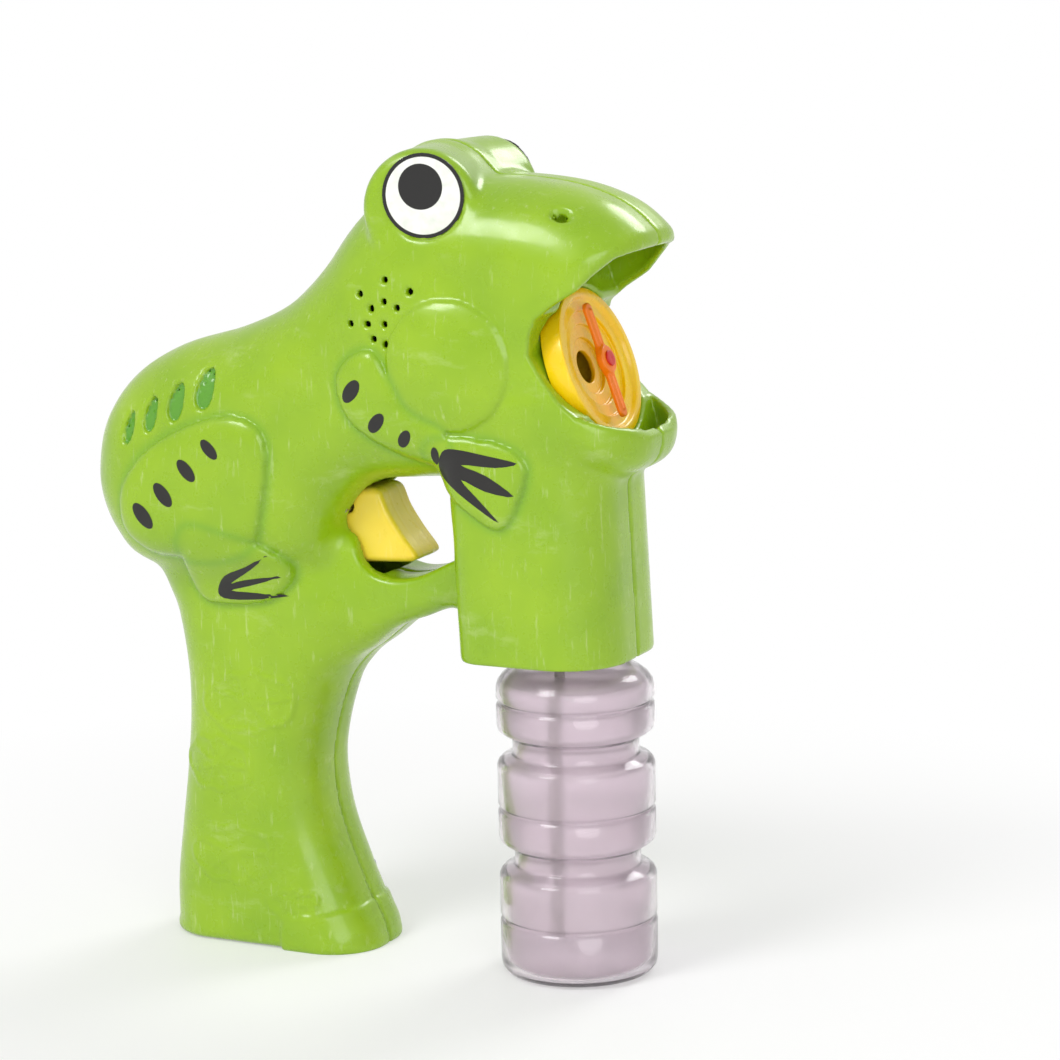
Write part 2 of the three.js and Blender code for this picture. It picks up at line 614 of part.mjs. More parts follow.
function pumpTube() {
  const [z0, z1] = STATION.pump;
  const middle = (z0 + z1) / 2 - 0.6;
  const loop = [];
  const open = deg(62);
  const count = 14;
  for (let i = 0; i <= count; i += 1) {
    const angle = open + ((Math.PI * 2 - 2 * open) * i) / count;
    loop.push(drivePoint(-PUMP_TUBE_TURN * Math.cos(angle), PUMP_TUBE_TURN * Math.sin(angle), middle));
  }
  const start = [
    new THREE.Vector3(DIP_TUBE.x, 0, NECK_CAP.top + 1.5), new THREE.Vector3(DIP_TUBE.x, 2, NECK_CAP.top + 8),
    new THREE.Vector3(-14, 9.6, 121), drivePoint(-12, 10.4, middle),
  ];
  const end = [
    drivePoint(-12, -10.2, middle), drivePoint(-16, -7, middle - 5),
    drivePoint(-FEED_OFFSET - 3, -2, STATION.chamber[1] + 2.6),
    drivePoint(-FEED_OFFSET, 0, STATION.chamber[1] - 2), drivePoint(-FEED_OFFSET, 0, STATION.chamber[0] + 1),
  ];
  return cord([...start, ...loop, ...end], TUBE_RADIUS, 56, 6);
}

function gearFrame() {
  const plate = ([z0, z1], bore) => cut(tower(roundedRectangle(28, 24, 3), z0, z1, 3).translate([5.5, 0, 0]),
    [rod(bore, z0 - 1, z1 + 1, 16), rod(1.1, z0 - 1, z1 + 1, 12).translate([GEAR_CENTRES, 0, 0])]);
  const posts = [10.2, -10.2].flatMap((y) => [-6, 17].map((x) =>
    rod(1.6, STATION.frontPlate[0], STATION.rearPlate[1], 10).translate([x, y, 0])));
  return onDrive(join([plate(STATION.frontPlate, 3.3), plate(STATION.rearPlate, 3.4), ...posts]));
}

function compoundGear() {
  const body = join([
    gear(SMALL_TEETH, [STATION.slowGears[0], STATION.fastGears[0] + 0.1]),
    gear(LARGE_TEETH, STATION.fastGears),
  ]);
  return onDrive(cut(body, [rod(1.15, 30, 60, 12)]).translate([GEAR_CENTRES, 0, 0]));
}

function gearAxle() {
  return onDrive(rod(0.85, STATION.frontPlate[0] - 0.5, STATION.rearPlate[1] - 0.1, 12)
    .translate([GEAR_CENTRES, 0, 0]));
}

function motorCan() {
  const [z0, z1] = STATION.motor;
  const { radius, flat } = MOTOR;
  const flats = block(-flat, flat, -radius, radius, z0 - 1, z1 + 1);
  const collars = [rod(3, z0 - 1.5, z0 + 0.1, 20), rod(3.5, z1 - 0.1, z1 + 2, 20)];
  const can = join([common(rod(radius, z0, z1, 24), flats), ...collars]);
  return onDrive(cut(can, [rod(MOTOR.shaft + GAP, z0 - 6, z1 + 6, 12)]));
}

function motorShaft() {
  return onDrive(rod(MOTOR.shaft, STATION.fastGears[0] - 1.2, STATION.fan[1] - 2, 12));
}

function pinion() {
  const [z0, z1] = STATION.fastGears;
  const wheel = gear(SMALL_TEETH, [z0, z1]).rotate([0, 0, 180 / SMALL_TEETH]);
  return onDrive(cut(wheel, [rod(MOTOR.shaft + 0.05, z0 - 1, z1 + 1, 12)]));
}

function fan() {
  const [z0, z1] = STATION.fan;
  const blades = [];
  const count = 8;
  for (let i = 0; i < count; i += 1) {
    blades.push(block(3, FAN_RADIUS - 0.2, -0.5, 0.5, z0 + 0.5, z1).rotate([0, 0, (i * 360) / count]));
  }
  const body = join([rod(FAN_RADIUS, z0, z0 + 1.2, 24), rod(4, z0, z1, 20), ...blades]);
  return onDrive(cut(body, [rod(MOTOR.shaft + 0.05, z0 - 1, z1 - 2 + GAP, 12)]));
}

function fanHousing() {
  const [z0, z1] = STATION.fanHousing;
  const [outer, skin, intake, motorHole] = [FAN_RADIUS + 2.6, 1.2, 11, 7];
  const drum = turned([
    [motorHole, z0], [outer, z0], [outer, z1], [intake, z1], [intake, z1 - skin], [outer - skin, z1 - skin],
    [outer - skin, z0 + skin], [motorHole, z0 + skin], [motorHole, z0],
  ], 26);
  const outlet = block(intake, outer + 10, -DUCT.outer - 0.1, DUCT.outer + 0.1, z0 + 3.2, z1 - 3.4);
  return onDrive(cut(drum, [outlet]));
}

function airDuct() {
  const [z0, z1] = STATION.fanHousing;
  const path = [
    drivePoint(FAN_RADIUS + 3, 0, (z0 + z1) / 2), drivePoint(FAN_RADIUS + 9, 0, (z0 + z1) / 2 - 6),
    drivePoint(FAN_RADIUS + 10.5, 0, 66), drivePoint(FAN_RADIUS + 11, 0, 44),
    drivePoint(FAN_RADIUS + 9, 0, 27), drivePoint(FAN_RADIUS + 4, 0, 15), drivePoint(14.2, 0, DUCT_STATION),
  ];
  const outer = cord(path, DUCT.outer, 14, 10);
  const far = drivePoint(9, 0, DUCT_STATION - 2);
  const start = drivePoint(FAN_RADIUS - 2, 0, (z0 + z1) / 2 + 2);
  const inner = cord([start, ...path, far], DUCT.inner, 18, 10);
  return cut(outer, [inner]);
}

// ---------------------------------------------------------------- trigger
function trigger() {
  const { x, z, radius } = TRIGGER_PIVOT;
  const body = slab(smoothShape(TRIGGER, 26), -TRIGGER_HALF_WIDTH, TRIGGER_HALF_WIDTH, 1.2);
  const pocket = block(x - 7, x + 3.2, -3, 3, z - 3.4, z + 8); // holds the spring
  const bore = alongY(rod(radius + GAP, -20, 20, 16), x, 0, z);
  return cut(body, [pocket, bore]);
}

function triggerPin() {
  const { x, z, radius } = TRIGGER_PIVOT;
  return alongY(rod(radius, -PIN_HALF_LENGTH, PIN_HALF_LENGTH, 16), x, 0, z);
}

function triggerSpring() {
  const body = coil(2.2, 0.3, 5, 4).translate([0, 0, -2.5]);
  return alongY(body, TRIGGER_PIVOT.x, 0, TRIGGER_PIVOT.z);
}

const SWITCH = { back: -70, front: -64.4, bottom: 94.6, top: 100.4, plunger: 1 };

function triggerSwitch() {
  const { back, front, bottom, top, plunger } = SWITCH;
  const middle = (bottom + top) / 2;
  return join([
    block(back, front, -SWITCH_HALF_WIDTH, SWITCH_HALF_WIDTH, bottom, top),
    block(front - 0.1, front + plunger, -1, 1, middle - 1, middle + 1),
  ]);
}

// ---------------------------------------------------------------- power
function cell([x, y]) {
  const z1 = CELL_BOTTOM + CELL_LENGTH;
  const body = turned([
    [0, CELL_BOTTOM], [CELL_RADIUS, CELL_BOTTOM], [CELL_RADIUS, z1 - 1.5], [2.8, z1 - 1.5], [2.8, z1], [0, z1],
  ], 20);
  return body.translate([x, y, 0]);
}

const CELL_SPRING = { radius: 3.2, wire: 0.35, length: 5.2, turns: 3 };

function cellSpring([x, y]) {
  const { radius, wire, length, turns } = CELL_SPRING;
  return coil(radius, wire, length, turns).translate([x, y, CELL_BOTTOM - length - 0.2]);
}

function cellContact([x, y]) {
  const z = CELL_BOTTOM + CELL_LENGTH + 0.1;
  return block(x - 4, x + 4, y - 3.6, y + 3.6, z, z + 0.5);
}

function cellTray() {
  const [bottom, top] = [CELL_BOTTOM - 6.8, CELL_BOTTOM + CELL_LENGTH + 2.2];
  const [z0, z1] = [bottom + 1.2, top - 1.5];
  const outer = block(-101, -70.3, -GRIP_HALF_WIDTH + WALL + 3.2, 12, bottom, top);
  const shape = common(outer, gripBody(WALL + GAP));
  const [outside, farSide, deepest] = CELLS;
  const hollows = CELLS.map(([x, y]) => rod(CELL_RADIUS + 0.2, z0, z1, 18).translate([x, y, 0]));
  const wells = [outside, farSide].map(([x, y]) => block(x - CELL_RADIUS, x + CELL_RADIUS, y, y + 20, z0, z1));
  const deep = block(deepest[0] - 5.5, deepest[0] + 5.5, deepest[1], 20, z0, z1);
  return cut(shape, [...hollows, ...wells, deep]);
}

// ---------------------------------------------------------------- sound
const SPEAKER = { x: -38.5, z: 163, radius: 9, back: -7, front: -14 };

function speaker() {
  const { radius, back, front } = SPEAKER;
  const body = turned([
    [0, 0], [radius - 3, 0], [radius - 3, 3], [radius, 4], [radius, 7], [radius - 1.4, 7], [radius - 3, 5.4],
    [0, 6],
  ], 22);
  return alongY(body.scale([1, 1, (back - front) / 7]), 0, 0, 0).rotate([0, 0, 180])
    .translate([SPEAKER.x, back, SPEAKER.z]);
}

const BOARD = { x: -40, z: 165, length: 24, height: 18, y: 8, thickness: 1.6 };

function circuitBoard() {
  const { x, z, length, height, y, thickness } = BOARD;
  return block(x - length / 2, x + length / 2, y, y + thickness, z - height / 2, z + height / 2);
}

// ---------------------------------------------------------------- bottle and what it screws into
const NECK_CAP = { bottom: 84, top: 98, radius: NECK_RADIUS + 2.1, flange: 1.8, bore: NECK_RADIUS + 0.9 };
const DIP_TUBE = { x: -4, outer: 1.25, inner: 0.8, bottom: 7 };
const RIM = 94.4; // top of the bottle's neck

function neckCap() {
  const { bottom, top, radius, flange, bore } = NECK_CAP;
  const cap = pipe(radius, bore, bottom, top - 1, 22);
  const lid = rod(radius, top - 1.6, top, 22);
  const plate = tower(skirtPlan(WALL + GAP + 0.1), top - flange, top, 5);
  const nipple = rod(2.4, top - 5, top + 1.2, 16).translate([DIP_TUBE.x, 0, 0]);
  const body = join([cap, lid, plate.translate([skirtMiddle(top), 0, 0]), nipple]);
  const tubeHole = rod(DIP_TUBE.outer + GAP, bottom, top + 20, 12).translate([DIP_TUBE.x, 0, 0]);
  const vent = rod(0.8, bottom, top + 20, 8).translate([6, 0, 0]);
  return cut(body, [tubeHole, vent]);
}

function dipTube() {
  const { x, outer, inner, bottom } = DIP_TUBE;
  return pipe(outer, inner, bottom, NECK_CAP.top + 0.9, 12).translate([x, 0, 0]);
}

const neckSeal = () => pipe(NECK_RADIUS - 0.2, NECK_RADIUS - 3, RIM + 0.4, NECK_CAP.top - 1.9, 20);

// the bottle's side: rounded base, three bands parted by deep grooves, each band split by a V
function bottleSide(inset, fine = true) {
  const R = BOTTLE_RADIUS - inset;
  const groove = R - 3.8;
  const neck = NECK_RADIUS - inset;
  const side = [[R - 2.6, inset], [R - 0.7, 0.9 + inset], [R, 2.9 + inset]];
  for (const notch of [13.6, 41.2, 67.6]) {
    if (fine) side.push([R, notch - 1.1], [R - 0.8, notch], [R, notch + 1.1]);
    if (notch < 60) {
      side.push([R, notch + 10.8], [R - 0.8, notch + 12], [groove, notch + 13.6], [groove, notch + 17.2],
        [R - 0.8, notch + 18.8], [R, notch + 20]);
    }
  }
  side.push([R, 71.4], [R - 1.2, 73.6], [R - 4.6, 75.6 - inset * 0.6], [neck + 1, 77.4 - inset],
    [neck, 78.6 - inset]);
  return side;
}

function bottle() {
  const neck = NECK_RADIUS - 0.4;
  const thread = [0, 1].flatMap((i) => [[neck, 85 + 4 * i], [neck + 1, 85.8 + 4 * i], [neck + 1, 86.6 + 4 * i],
    [neck, 87.4 + 4 * i]]);
  const inner = bottleSide(BOTTLE_WALL, false).reverse();
  return turned([
    [0, 0], ...bottleSide(0), [neck, 79.4], ...thread, [neck, RIM], [neck - 1.3, RIM], [neck - 1.3, 79],
    ...inner, [0, BOTTLE_WALL],
  ], 20);
}

function solution() {
  const level = 72.5;
  const clearance = BOTTLE_WALL + GAP;
  const wet = bottleSide(clearance, false).filter(([, z]) => z < level);
  const last = wet[wet.length - 1];
  const body = turned([[0, clearance], ...wet, [last[0] - 0.8, level], [0, level]], 20);
  const { x, outer, bottom } = DIP_TUBE;
  return cut(body, [rod(outer + GAP, bottom - 2 * GAP, level + 1, 16).translate([x, 0, 0])]);
}

// ---------------------------------------------------------------- assembly
const whole = shell();
const group = new THREE.Group();
group.name = 'bubble_machine';
group.add(
  part('right_shell', rightShell(whole), GREEN),
  part('left_shell', leftShell(whole), GREEN),
  part('battery_door', batteryDoor(), GREEN),
  part('right_eye', eyeDisc(-1), WHITE),
  part('left_eye', eyeDisc(1), WHITE),
  part('mouth_ring', mouthRing(), YELLOW),
  part('air_chamber', airChamber(), YELLOW),
  part('wiper', wiper(), 0xff8c00),
  part('pump_rotor', pumpRotor(), WHITE),
  part('pump_housing', pumpHousing(), WHITE),
  part('pump_tube', pumpTube(), 0xe8e4d8, 0.3, 0, 0.8),
  part('gear_frame', gearFrame(), WHITE),
  part('compound_gear', compoundGear(), WHITE),
  part('gear_axle', gearAxle(), STEEL, 0.3, 1),
  part('motor_pinion', pinion(), 0xb79a4a, 0.35, 1),
  part('motor_can', motorCan(), STEEL, 0.3, 1),
  part('motor_shaft', motorShaft(), STEEL, 0.3, 1),
  part('fan', fan(), WHITE),
  part('fan_housing', fanHousing(), WHITE),
  part('air_duct', airDuct(), WHITE),
  part('trigger', trigger(), 0xfceb5a),
  part('trigger_pin', triggerPin(), STEEL, 0.3, 1),
  part('trigger_spring', triggerSpring(), STEEL, 0.3, 1),
  part('trigger_switch', triggerSwitch(), 0x222426),
  part('battery_tray', cellTray(), 0x2a2b2d),
  part('speaker', speaker(), 0x1c1d1f, 0.6),
  part('circuit_board', circuitBoard(), 0x2f6b3a, 0.5),
  part('neck_cap', neckCap(), WHITE),
  part('neck_seal', neckSeal(), 0x8a8d90, 0.8),
  part('dip_tube', dipTube(), 0xe8e4d8, 0.3, 0, 0.8),
  part('bottle', bottle(), 0xf4e4ee, 0.15, 0, 0.45),
  part('bubble_solution', solution(), 0xf3dcea, 0.05, 0, 0.6),
);
[0, 1, 2].forEach((i) => group.add(part(`pump_roller_${i + 1}`, roller(i), 0xd0d2d4)));
CELLS.forEach((at, i) => group.add(
  part(`battery_${i + 1}`, cell(at), 0x2b2b30, 0.4, 0.3),
  part(`battery_spring_${i + 1}`, cellSpring(at), STEEL, 0.3, 1),
  part(`battery_contact_${i + 1}`, cellContact(at), STEEL, 0.3, 1),
));
SCREWS.forEach((at, i) => group.add(part(`shell_screw_${i + 1}`, shellScrew(at), STEEL, 0.35, 1)));

group.position.x = -(BACK_X + FRONT_X) / 2;
group.updateMatrixWorld(true);

export default group;
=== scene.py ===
# Looks of the frog-shaped bubble machine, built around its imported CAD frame.
import math

import bpy
import numpy as np
from mathutils import Matrix, Vector
from mathutils.bvhtree import BVHTree
from mathutils.geometry import delaunay_2d_cdt


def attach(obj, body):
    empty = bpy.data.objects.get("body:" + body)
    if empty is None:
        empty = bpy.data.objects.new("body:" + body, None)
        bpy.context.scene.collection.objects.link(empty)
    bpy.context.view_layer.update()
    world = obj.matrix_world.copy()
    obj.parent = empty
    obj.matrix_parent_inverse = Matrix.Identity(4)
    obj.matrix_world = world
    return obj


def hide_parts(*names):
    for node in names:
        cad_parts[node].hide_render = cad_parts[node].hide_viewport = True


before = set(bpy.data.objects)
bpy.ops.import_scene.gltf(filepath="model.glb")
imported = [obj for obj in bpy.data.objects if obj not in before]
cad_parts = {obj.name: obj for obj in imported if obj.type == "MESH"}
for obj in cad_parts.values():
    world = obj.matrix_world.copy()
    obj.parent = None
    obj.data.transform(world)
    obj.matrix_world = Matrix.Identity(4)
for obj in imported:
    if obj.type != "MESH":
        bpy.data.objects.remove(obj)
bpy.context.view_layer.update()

# ---------------------------------------------------------------- sizes, mm, bottle axis at X = 0
MM = 0.001
SHIFT = 50.5  # from the bottle axis to the middle of the footprint
WALL = 2.2
SEAM = 0.08  # each shell half stops this far from the middle plane
BODY_HALF_WIDTH = 23.6
HEAD_HALF_WIDTH = 22.6
GRIP_HALF_WIDTH = 16.1
SKIRT_BOTTOM = 79.0
SKIRT_TOP = 142.0
SKIRT_LENGTH = 39.4
SKIRT_WIDTH = 43.4
SKIRT_RAKE = math.radians(2.7)
SKIRT_FRONT_CORNER, SKIRT_REAR_CORNER = 16.0, 7.0
RING = (5.6, 0.0, 149.2)
RING_RADIUS = 18.4
PITCH = math.radians(20)
BOTTLE_RADIUS = 19.2
EYE_X, EYE_Z, EYE_RADIUS, EYE_Y, EYE_YAW = -32.0, 187.0, 14.4, 20.5, math.radians(10)
EYE_DISC = (1.2, 3.5, 10.0)  # X and Z from the boss's middle, and radius
PIVOT = (-57.5, 112.5)  # of the trigger
PIN_HOLE_RADIUS = 1.8
TRIGGER_HALF_WIDTH = 7.0
TRIGGER_SLOT_HALF_WIDTH = TRIGGER_HALF_WIDTH + 0.6
NOSTRIL = (7.0, 16.9, 187.0)
# the wall across the throat: its middle in front of the ring, and half its thickness
BULKHEAD, BULKHEAD_HALF = 2.2, 1.0
CHEEK = (-20.5, 151.0, 15.6, 2.3)  # X, Z, radius and height of its dome

TORSO = [
    (-113, 96), (-120.5, 103), (-124.6, 112), (-125.2, 121.5), (-122.2, 133), (-114, 143.5), (-101, 151),
    (-84, 156), (-70, 162.3), (-58, 172.3), (-44, 180), (-20, 176), (-6, 162), (-4, 140), (-14, 124),
    (-34, 121.5), (-48, 119.5), (-56, 112), (-60, 100), (-72, 95), (-95, 92),
]
HEAD = [
    (24.2, 178.5), (21.5, 183.6), (13, 189.3), (-1, 193), (-22, 193.8), (-42, 190), (-55, 178), (-59, 160),
    (-50, 143), (-34, 131), (-12, 124), (6, 122), (19, 125), (24, 131), (23.5, 145), (24, 165),
]
MOUTH = [
    (44, 188), (24.6, 178.7), (19.4, 176.7), (15.6, 173.2), (11.9, 169.4), (5.9, 165.6), (1.7, 162.2),
    (0.3, 158.7), (0, 154), (3.7, 148.1), (7.5, 143.5), (11.5, 140.1), (17.1, 137.9), (21.6, 136.5),
    (23.6, 134.4), (44, 130),
]
FINGER_HOLE = [
    (-54.2, 108), (-52.7, 113.6), (-48.5, 117.6), (-40, 119.6), (-31, 119.3), (-26, 116.5), (-23.7, 110),
    (-24.2, 103.7), (-29, 100.6), (-38, 96.6), (-46, 96.2), (-52, 99.6),
]
GUARD = [
    (-18, 86.5), (-28, 89.2), (-36, 86.6), (-44, 83.4), (-54, 77), (-66, 74), (-66, 104), (-54, 106),
    (-44, 103), (-30, 106), (-18, 110),
]
GRIP = [
    (-110, -12), (-110.1, 4), (-109.9, 14), (-108.2, 27), (-106, 42), (-104.4, 58), (-104.6, 70),
    (-106.6, 83), (-110, 95), (-100, 108), (-70, 108), (-54, 96), (-50.5, 84), (-58, 74), (-63.4, 62),
    (-66.6, 49), (-66.4, 39), (-64.4, 29.6), (-60.2, 18.5), (-56.2, 9), (-53.6, 2), (-53.5, -12),
]
TRIGGER = [
    (-48.9, 116.6), (-46.5, 111.6), (-43, 106.4), (-39.2, 101.6), (-39.8, 100), (-43, 99.4), (-58.6, 98.6),
    (-60.6, 100), (-61, 106), (-61, 113), (-57, 116.2), (-53, 117.2),
]
THIGH = [
    (-98.9, 100.1), (-106.1, 101.1), (-112, 107), (-111.4, 116.5), (-104.9, 125.5), (-95, 131.8),
    (-83.1, 135.8), (-74, 135), (-69.8, 128.7), (-71.4, 115), (-75, 104.5), (-85, 100),
]
FOOT = [(-93, 108), (-96.1, 95.5), (-92.9, 88.6), (-84, 88), (-74, 90), (-67, 97), (-72, 103.5), (-82, 107)]
ARM = [
    (-49.8, 147), (-46, 152.3), (-39.5, 153.6), (-35.4, 147.5), (-30.5, 140), (-22, 136), (-20, 131),
    (-22.7, 125.6), (-32, 128), (-42.5, 133.4), (-48.4, 139.5),
]
HAND = [(-25, 133), (-26, 124), (-18, 117), (-8.5, 112.5), (-3, 120), (-1.5, 129), (-10, 133.5)]
HAND_PRINT = [
    (-23.9, 127), (-22, 130.7), (-18.8, 131.6), (-10.9, 130.4), (-2.9, 128.9), (-8.4, 127.6), (-17.3, 127.8),
    (-10.5, 125.4), (-3.9, 121), (-11.2, 121.8), (-17.4, 124.2), (-12.5, 119.3), (-7.9, 114.5),
    (-13.9, 118), (-20.4, 122.4), (-23.5, 124.6),
]
FOOT_PRINT = [
    (-87.7, 91.8), (-86.6, 89.6), (-79.8, 89.6), (-69.4, 90.9), (-76.9, 91.6), (-84, 91.8), (-78.3, 93.5),
    (-68.3, 96.7), (-79.6, 94.9), (-83.6, 93.8), (-76.7, 98.1), (-70.6, 102.7), (-78, 98.7), (-84.7, 95.8),
]
# printed spots: X, Z, half length, half width, turn in degrees
SPOTS = [
    (-104.2, 110.5, 3.8, 1.9, -50), (-98.2, 116.1, 3.5, 1.8, -50), (-91.3, 122.5, 3.3, 1.7, -48),
    (-84.6, 128.1, 3.0, 1.5, -46), (-45.1, 144.2, 3.3, 1.8, 52), (-38.6, 136.9, 2.9, 1.6, 50),
    (-31.5, 133.4, 2.5, 1.4, 56), (-24.2, 129.5, 2.3, 1.1, 80),
]
VENT_DEPTH = 1.3
# vent slots: X, Z, width, height
VENTS = [(-109.4, 132.4, 2.8, 8.6), (-102.8, 136, 3.3, 9), (-95.4, 139.4, 4, 9.8), (-87.2, 143, 4.8, 10.4)]
SPEAKER_HOLES = [
    (-36.5, 170.8), (-43, 167.3), (-29.9, 168.2), (-36.6, 165.6), (-39.9, 163.9), (-33.2, 164.3),
    (-45.6, 160.1), (-41.1, 160.2), (-36.5, 160.4), (-39.6, 156.7), (-36.4, 155.5),
]
SPEAKER_HOLE_RADIUS = 0.85
SCREWS = [(-114, 118), (-60, 165.5), (-8, 180), (-84, 80), (-64.5, 16), (-33, 92.6)]
SCREW_HOLE_RADIUS = 2.9
# lily pads on the grip: X, Z, half length, half height, turn in degrees
LILY_PADS = [
    (-82, 63, 12.5, 7.2, 8), (-92, 46.5, 10, 6.5, -4), (-88, 23.5, 11.5, 7, 6), (-71.5, 12, 6.5, 3.6, 4),
]
DOOR = (-85.5, 37, 15.5, 30)  # X, Z, half length, half height
FLOOR_DROP = 0.2  # of the floor below the feet of the grip and the bottle


# ---------------------------------------------------------------- distance fields
def smooth_outline(points, steps=6):
    """A closed Catmull-Rom curve through the points."""
    p = np.array(points, float)
    before, after, beyond = np.roll(p, 1, 0), np.roll(p, -1, 0), np.roll(p, -2, 0)
    rows = []
    for t in np.arange(steps) / steps:
        rows.append(0.5 * (2 * p + (after - before) * t + (2 * before - 5 * p + 4 * after - beyond) * t ** 2
                           + (3 * p - before - 3 * after + beyond) * t ** 3))
    return np.stack(rows, 1).reshape(-1, 2)


def outline_distance(x, z, outline):
    """Signed distance to a closed outline, negative inside."""
    near = np.full(np.broadcast(x, z).shape, 1e9, np.float32)
    inside = np.zeros(near.shape, bool)
    for a, b in zip(outline, np.roll(outline, -1, 0)):
        edge = b - a
        along = ((x - a[0]) * edge[0] + (z - a[1]) * edge[1]) / max(edge @ edge, 1e-9)
        along = np.clip(along, 0, 1)
        near = np.minimum(near, (x - a[0] - along * edge[0]) ** 2 + (z - a[1] - along * edge[1]) ** 2)
        if edge[1] != 0:
            crosses = (z >= min(a[1], b[1])) & (z < max(a[1], b[1]))
            inside ^= crosses & (x < a[0] + (z - a[1]) * edge[0] / edge[1])
    return np.where(inside, -np.sqrt(near), np.sqrt(near)).astype(np.float32)


def ellipse_distance(x, z, cx, cz, rx, rz, turn=0.0):
    """Close to the distance to an ellipse turned by some degrees."""
    c, s = math.cos(math.radians(turn)), math.sin(math.radians(turn))
    u, v = (x - cx) * c + (z - cz) * s, -(x - cx) * s + (z - cz) * c
    k = np.sqrt((u / rx) ** 2 + (v / rz) ** 2)
    g = np.sqrt((u / rx ** 2) ** 2 + (v / rz ** 2) ** 2)
    return (k * (k - 1) / np.maximum(g, 1e-6)).astype(np.float32)


def join(a, b, k=0.0):
    """Union, with a fillet of about k."""
    if k == 0:
        return np.minimum(a, b)
    h = np.maximum(k - np.abs(a - b), 0) / k
    return np.minimum(a, b) - h * h * k / 4


def keep(a, b, k=0.0):
    """Intersection, with edges rounded by about k."""
    return -join(-a, -b, k)


def cut(a, b, k=0.0):
    """The first with the second taken away, and the new edges rounded by about k."""
    return keep(a, -b, k)


def thicken(flat, y, half_width, edge):
    """A side outline's distance made into a body with rounded edges."""
    u, v = flat + edge, np.abs(y) - (half_width - edge)
    return np.minimum(np.maximum(u, v), 0) + np.hypot(np.maximum(u, 0), np.maximum(v, 0)) - edge


def box_distance(u, v, half_u, half_v, corner):
    """Signed distance to a rectangle with round corners."""
    a, b = np.abs(u) - half_u + corner, np.abs(v) - half_v + corner
    return np.minimum(np.maximum(a, b), 0) + np.hypot(np.maximum(a, 0), np.maximum(b, 0)) - corner


def skirt_plan(x, y, z, inset=0.0):
    """Distance to the raked skirt's plan, which is rounder at the front than at the rear."""
    u = x + 2.65 + (z - SKIRT_BOTTOM) * math.tan(SKIRT_RAKE)
    corner = np.where(u > 0, SKIRT_FRONT_CORNER, SKIRT_REAR_CORNER) - inset
    return box_distance(u, y, SKIRT_LENGTH / 2 - inset, SKIRT_WIDTH / 2 - inset, corner)


class Grid:
    """A block of sample points in mm: x, y and z arrays that broadcast together."""

    def __init__(self, low, high, step):
        self.low, self.step = np.array(low, float), step
        self.count = [int(math.ceil((h - l) / step)) + 1 for l, h in zip(low, high)]
        axes = [l + step * np.arange(n) for l, n in zip(low, self.count)]
        self.x = axes[0].astype(np.float32)[:, None, None]
        self.y = axes[1].astype(np.float32)[None, :, None]
        self.z = axes[2].astype(np.float32)[None, None, :]

    def drive(self):
        """Distance behind the mouth ring and distance from its axis."""
        u, w = self.x - RING[0], self.z - RING[2]
        behind = -(u * math.cos(PITCH) + w * math.sin(PITCH))
        up = w * math.cos(PITCH) - u * math.sin(PITCH)
        return behind, np.sqrt(up ** 2 + self.y ** 2)


def surface(grid, field):
    """Surface nets: one point in each cell that the surface crosses, joined into quads."""
    field = np.broadcast_to(field, grid.count)
    inside = field < 0
    corners = [(i, j, k) for i in (0, 1) for j in (0, 1) for k in (0, 1)]
    n = [c - 1 for c in grid.count]

    def corner(values, c):
        return values[c[0]:c[0] + n[0], c[1]:c[1] + n[1], c[2]:c[2] + n[2]]

    total = sum(corner(inside, c).astype(np.int8) for c in corners)
    cells = np.argwhere((total > 0) & (total < 8))
    number = np.full(n, -1, np.int32)
    number[tuple(cells.T)] = np.arange(len(cells))
    values = np.stack([field[tuple((cells + c).T)] for c in corners], 1)
    points, hits = np.zeros((len(cells), 3)), np.zeros(len(cells))
    for a in range(8):
        for b in range(a + 1, 8):
            if sum(abs(p - q) for p, q in zip(corners[a], corners[b])) != 1:
                continue
            crossed = (values[:, a] < 0) != (values[:, b] < 0)
            gap = values[:, a] - values[:, b]
            t = np.where(crossed, values[:, a] / np.where(gap == 0, 1, gap), 0)[:, None]
            at = np.array(corners[a]) * (1 - t) + np.array(corners[b]) * t
            points += at * crossed[:, None]
            hits += crossed
    points = grid.low + grid.step * (cells + points / hits[:, None])
    quads = []
    for axis in range(3):
        u, v = (axis + 1) % 3, (axis + 2) % 3
        one = np.eye(3, dtype=int)[axis]
        low = inside[:grid.count[0] - one[0], :grid.count[1] - one[1], :grid.count[2] - one[2]]
        high = inside[one[0]:, one[1]:, one[2]:]
        for flip in (False, True):
            edges = np.argwhere(high & ~low if flip else low & ~high)
            edges = edges[(edges[:, u] > 0) & (edges[:, v] > 0)]
            edges = edges[(edges[:, u] < n[u]) & (edges[:, v] < n[v])]
            du, dv = np.eye(3, dtype=int)[u], np.eye(3, dtype=int)[v]
            ring = [number[tuple((edges - s * du - t * dv).T)] for s, t in ((0, 0), (1, 0), (1, 1), (0, 1))]
            quads.append(np.stack(ring[::-1] if flip else ring, 1))
    return points, np.concatenate(quads)


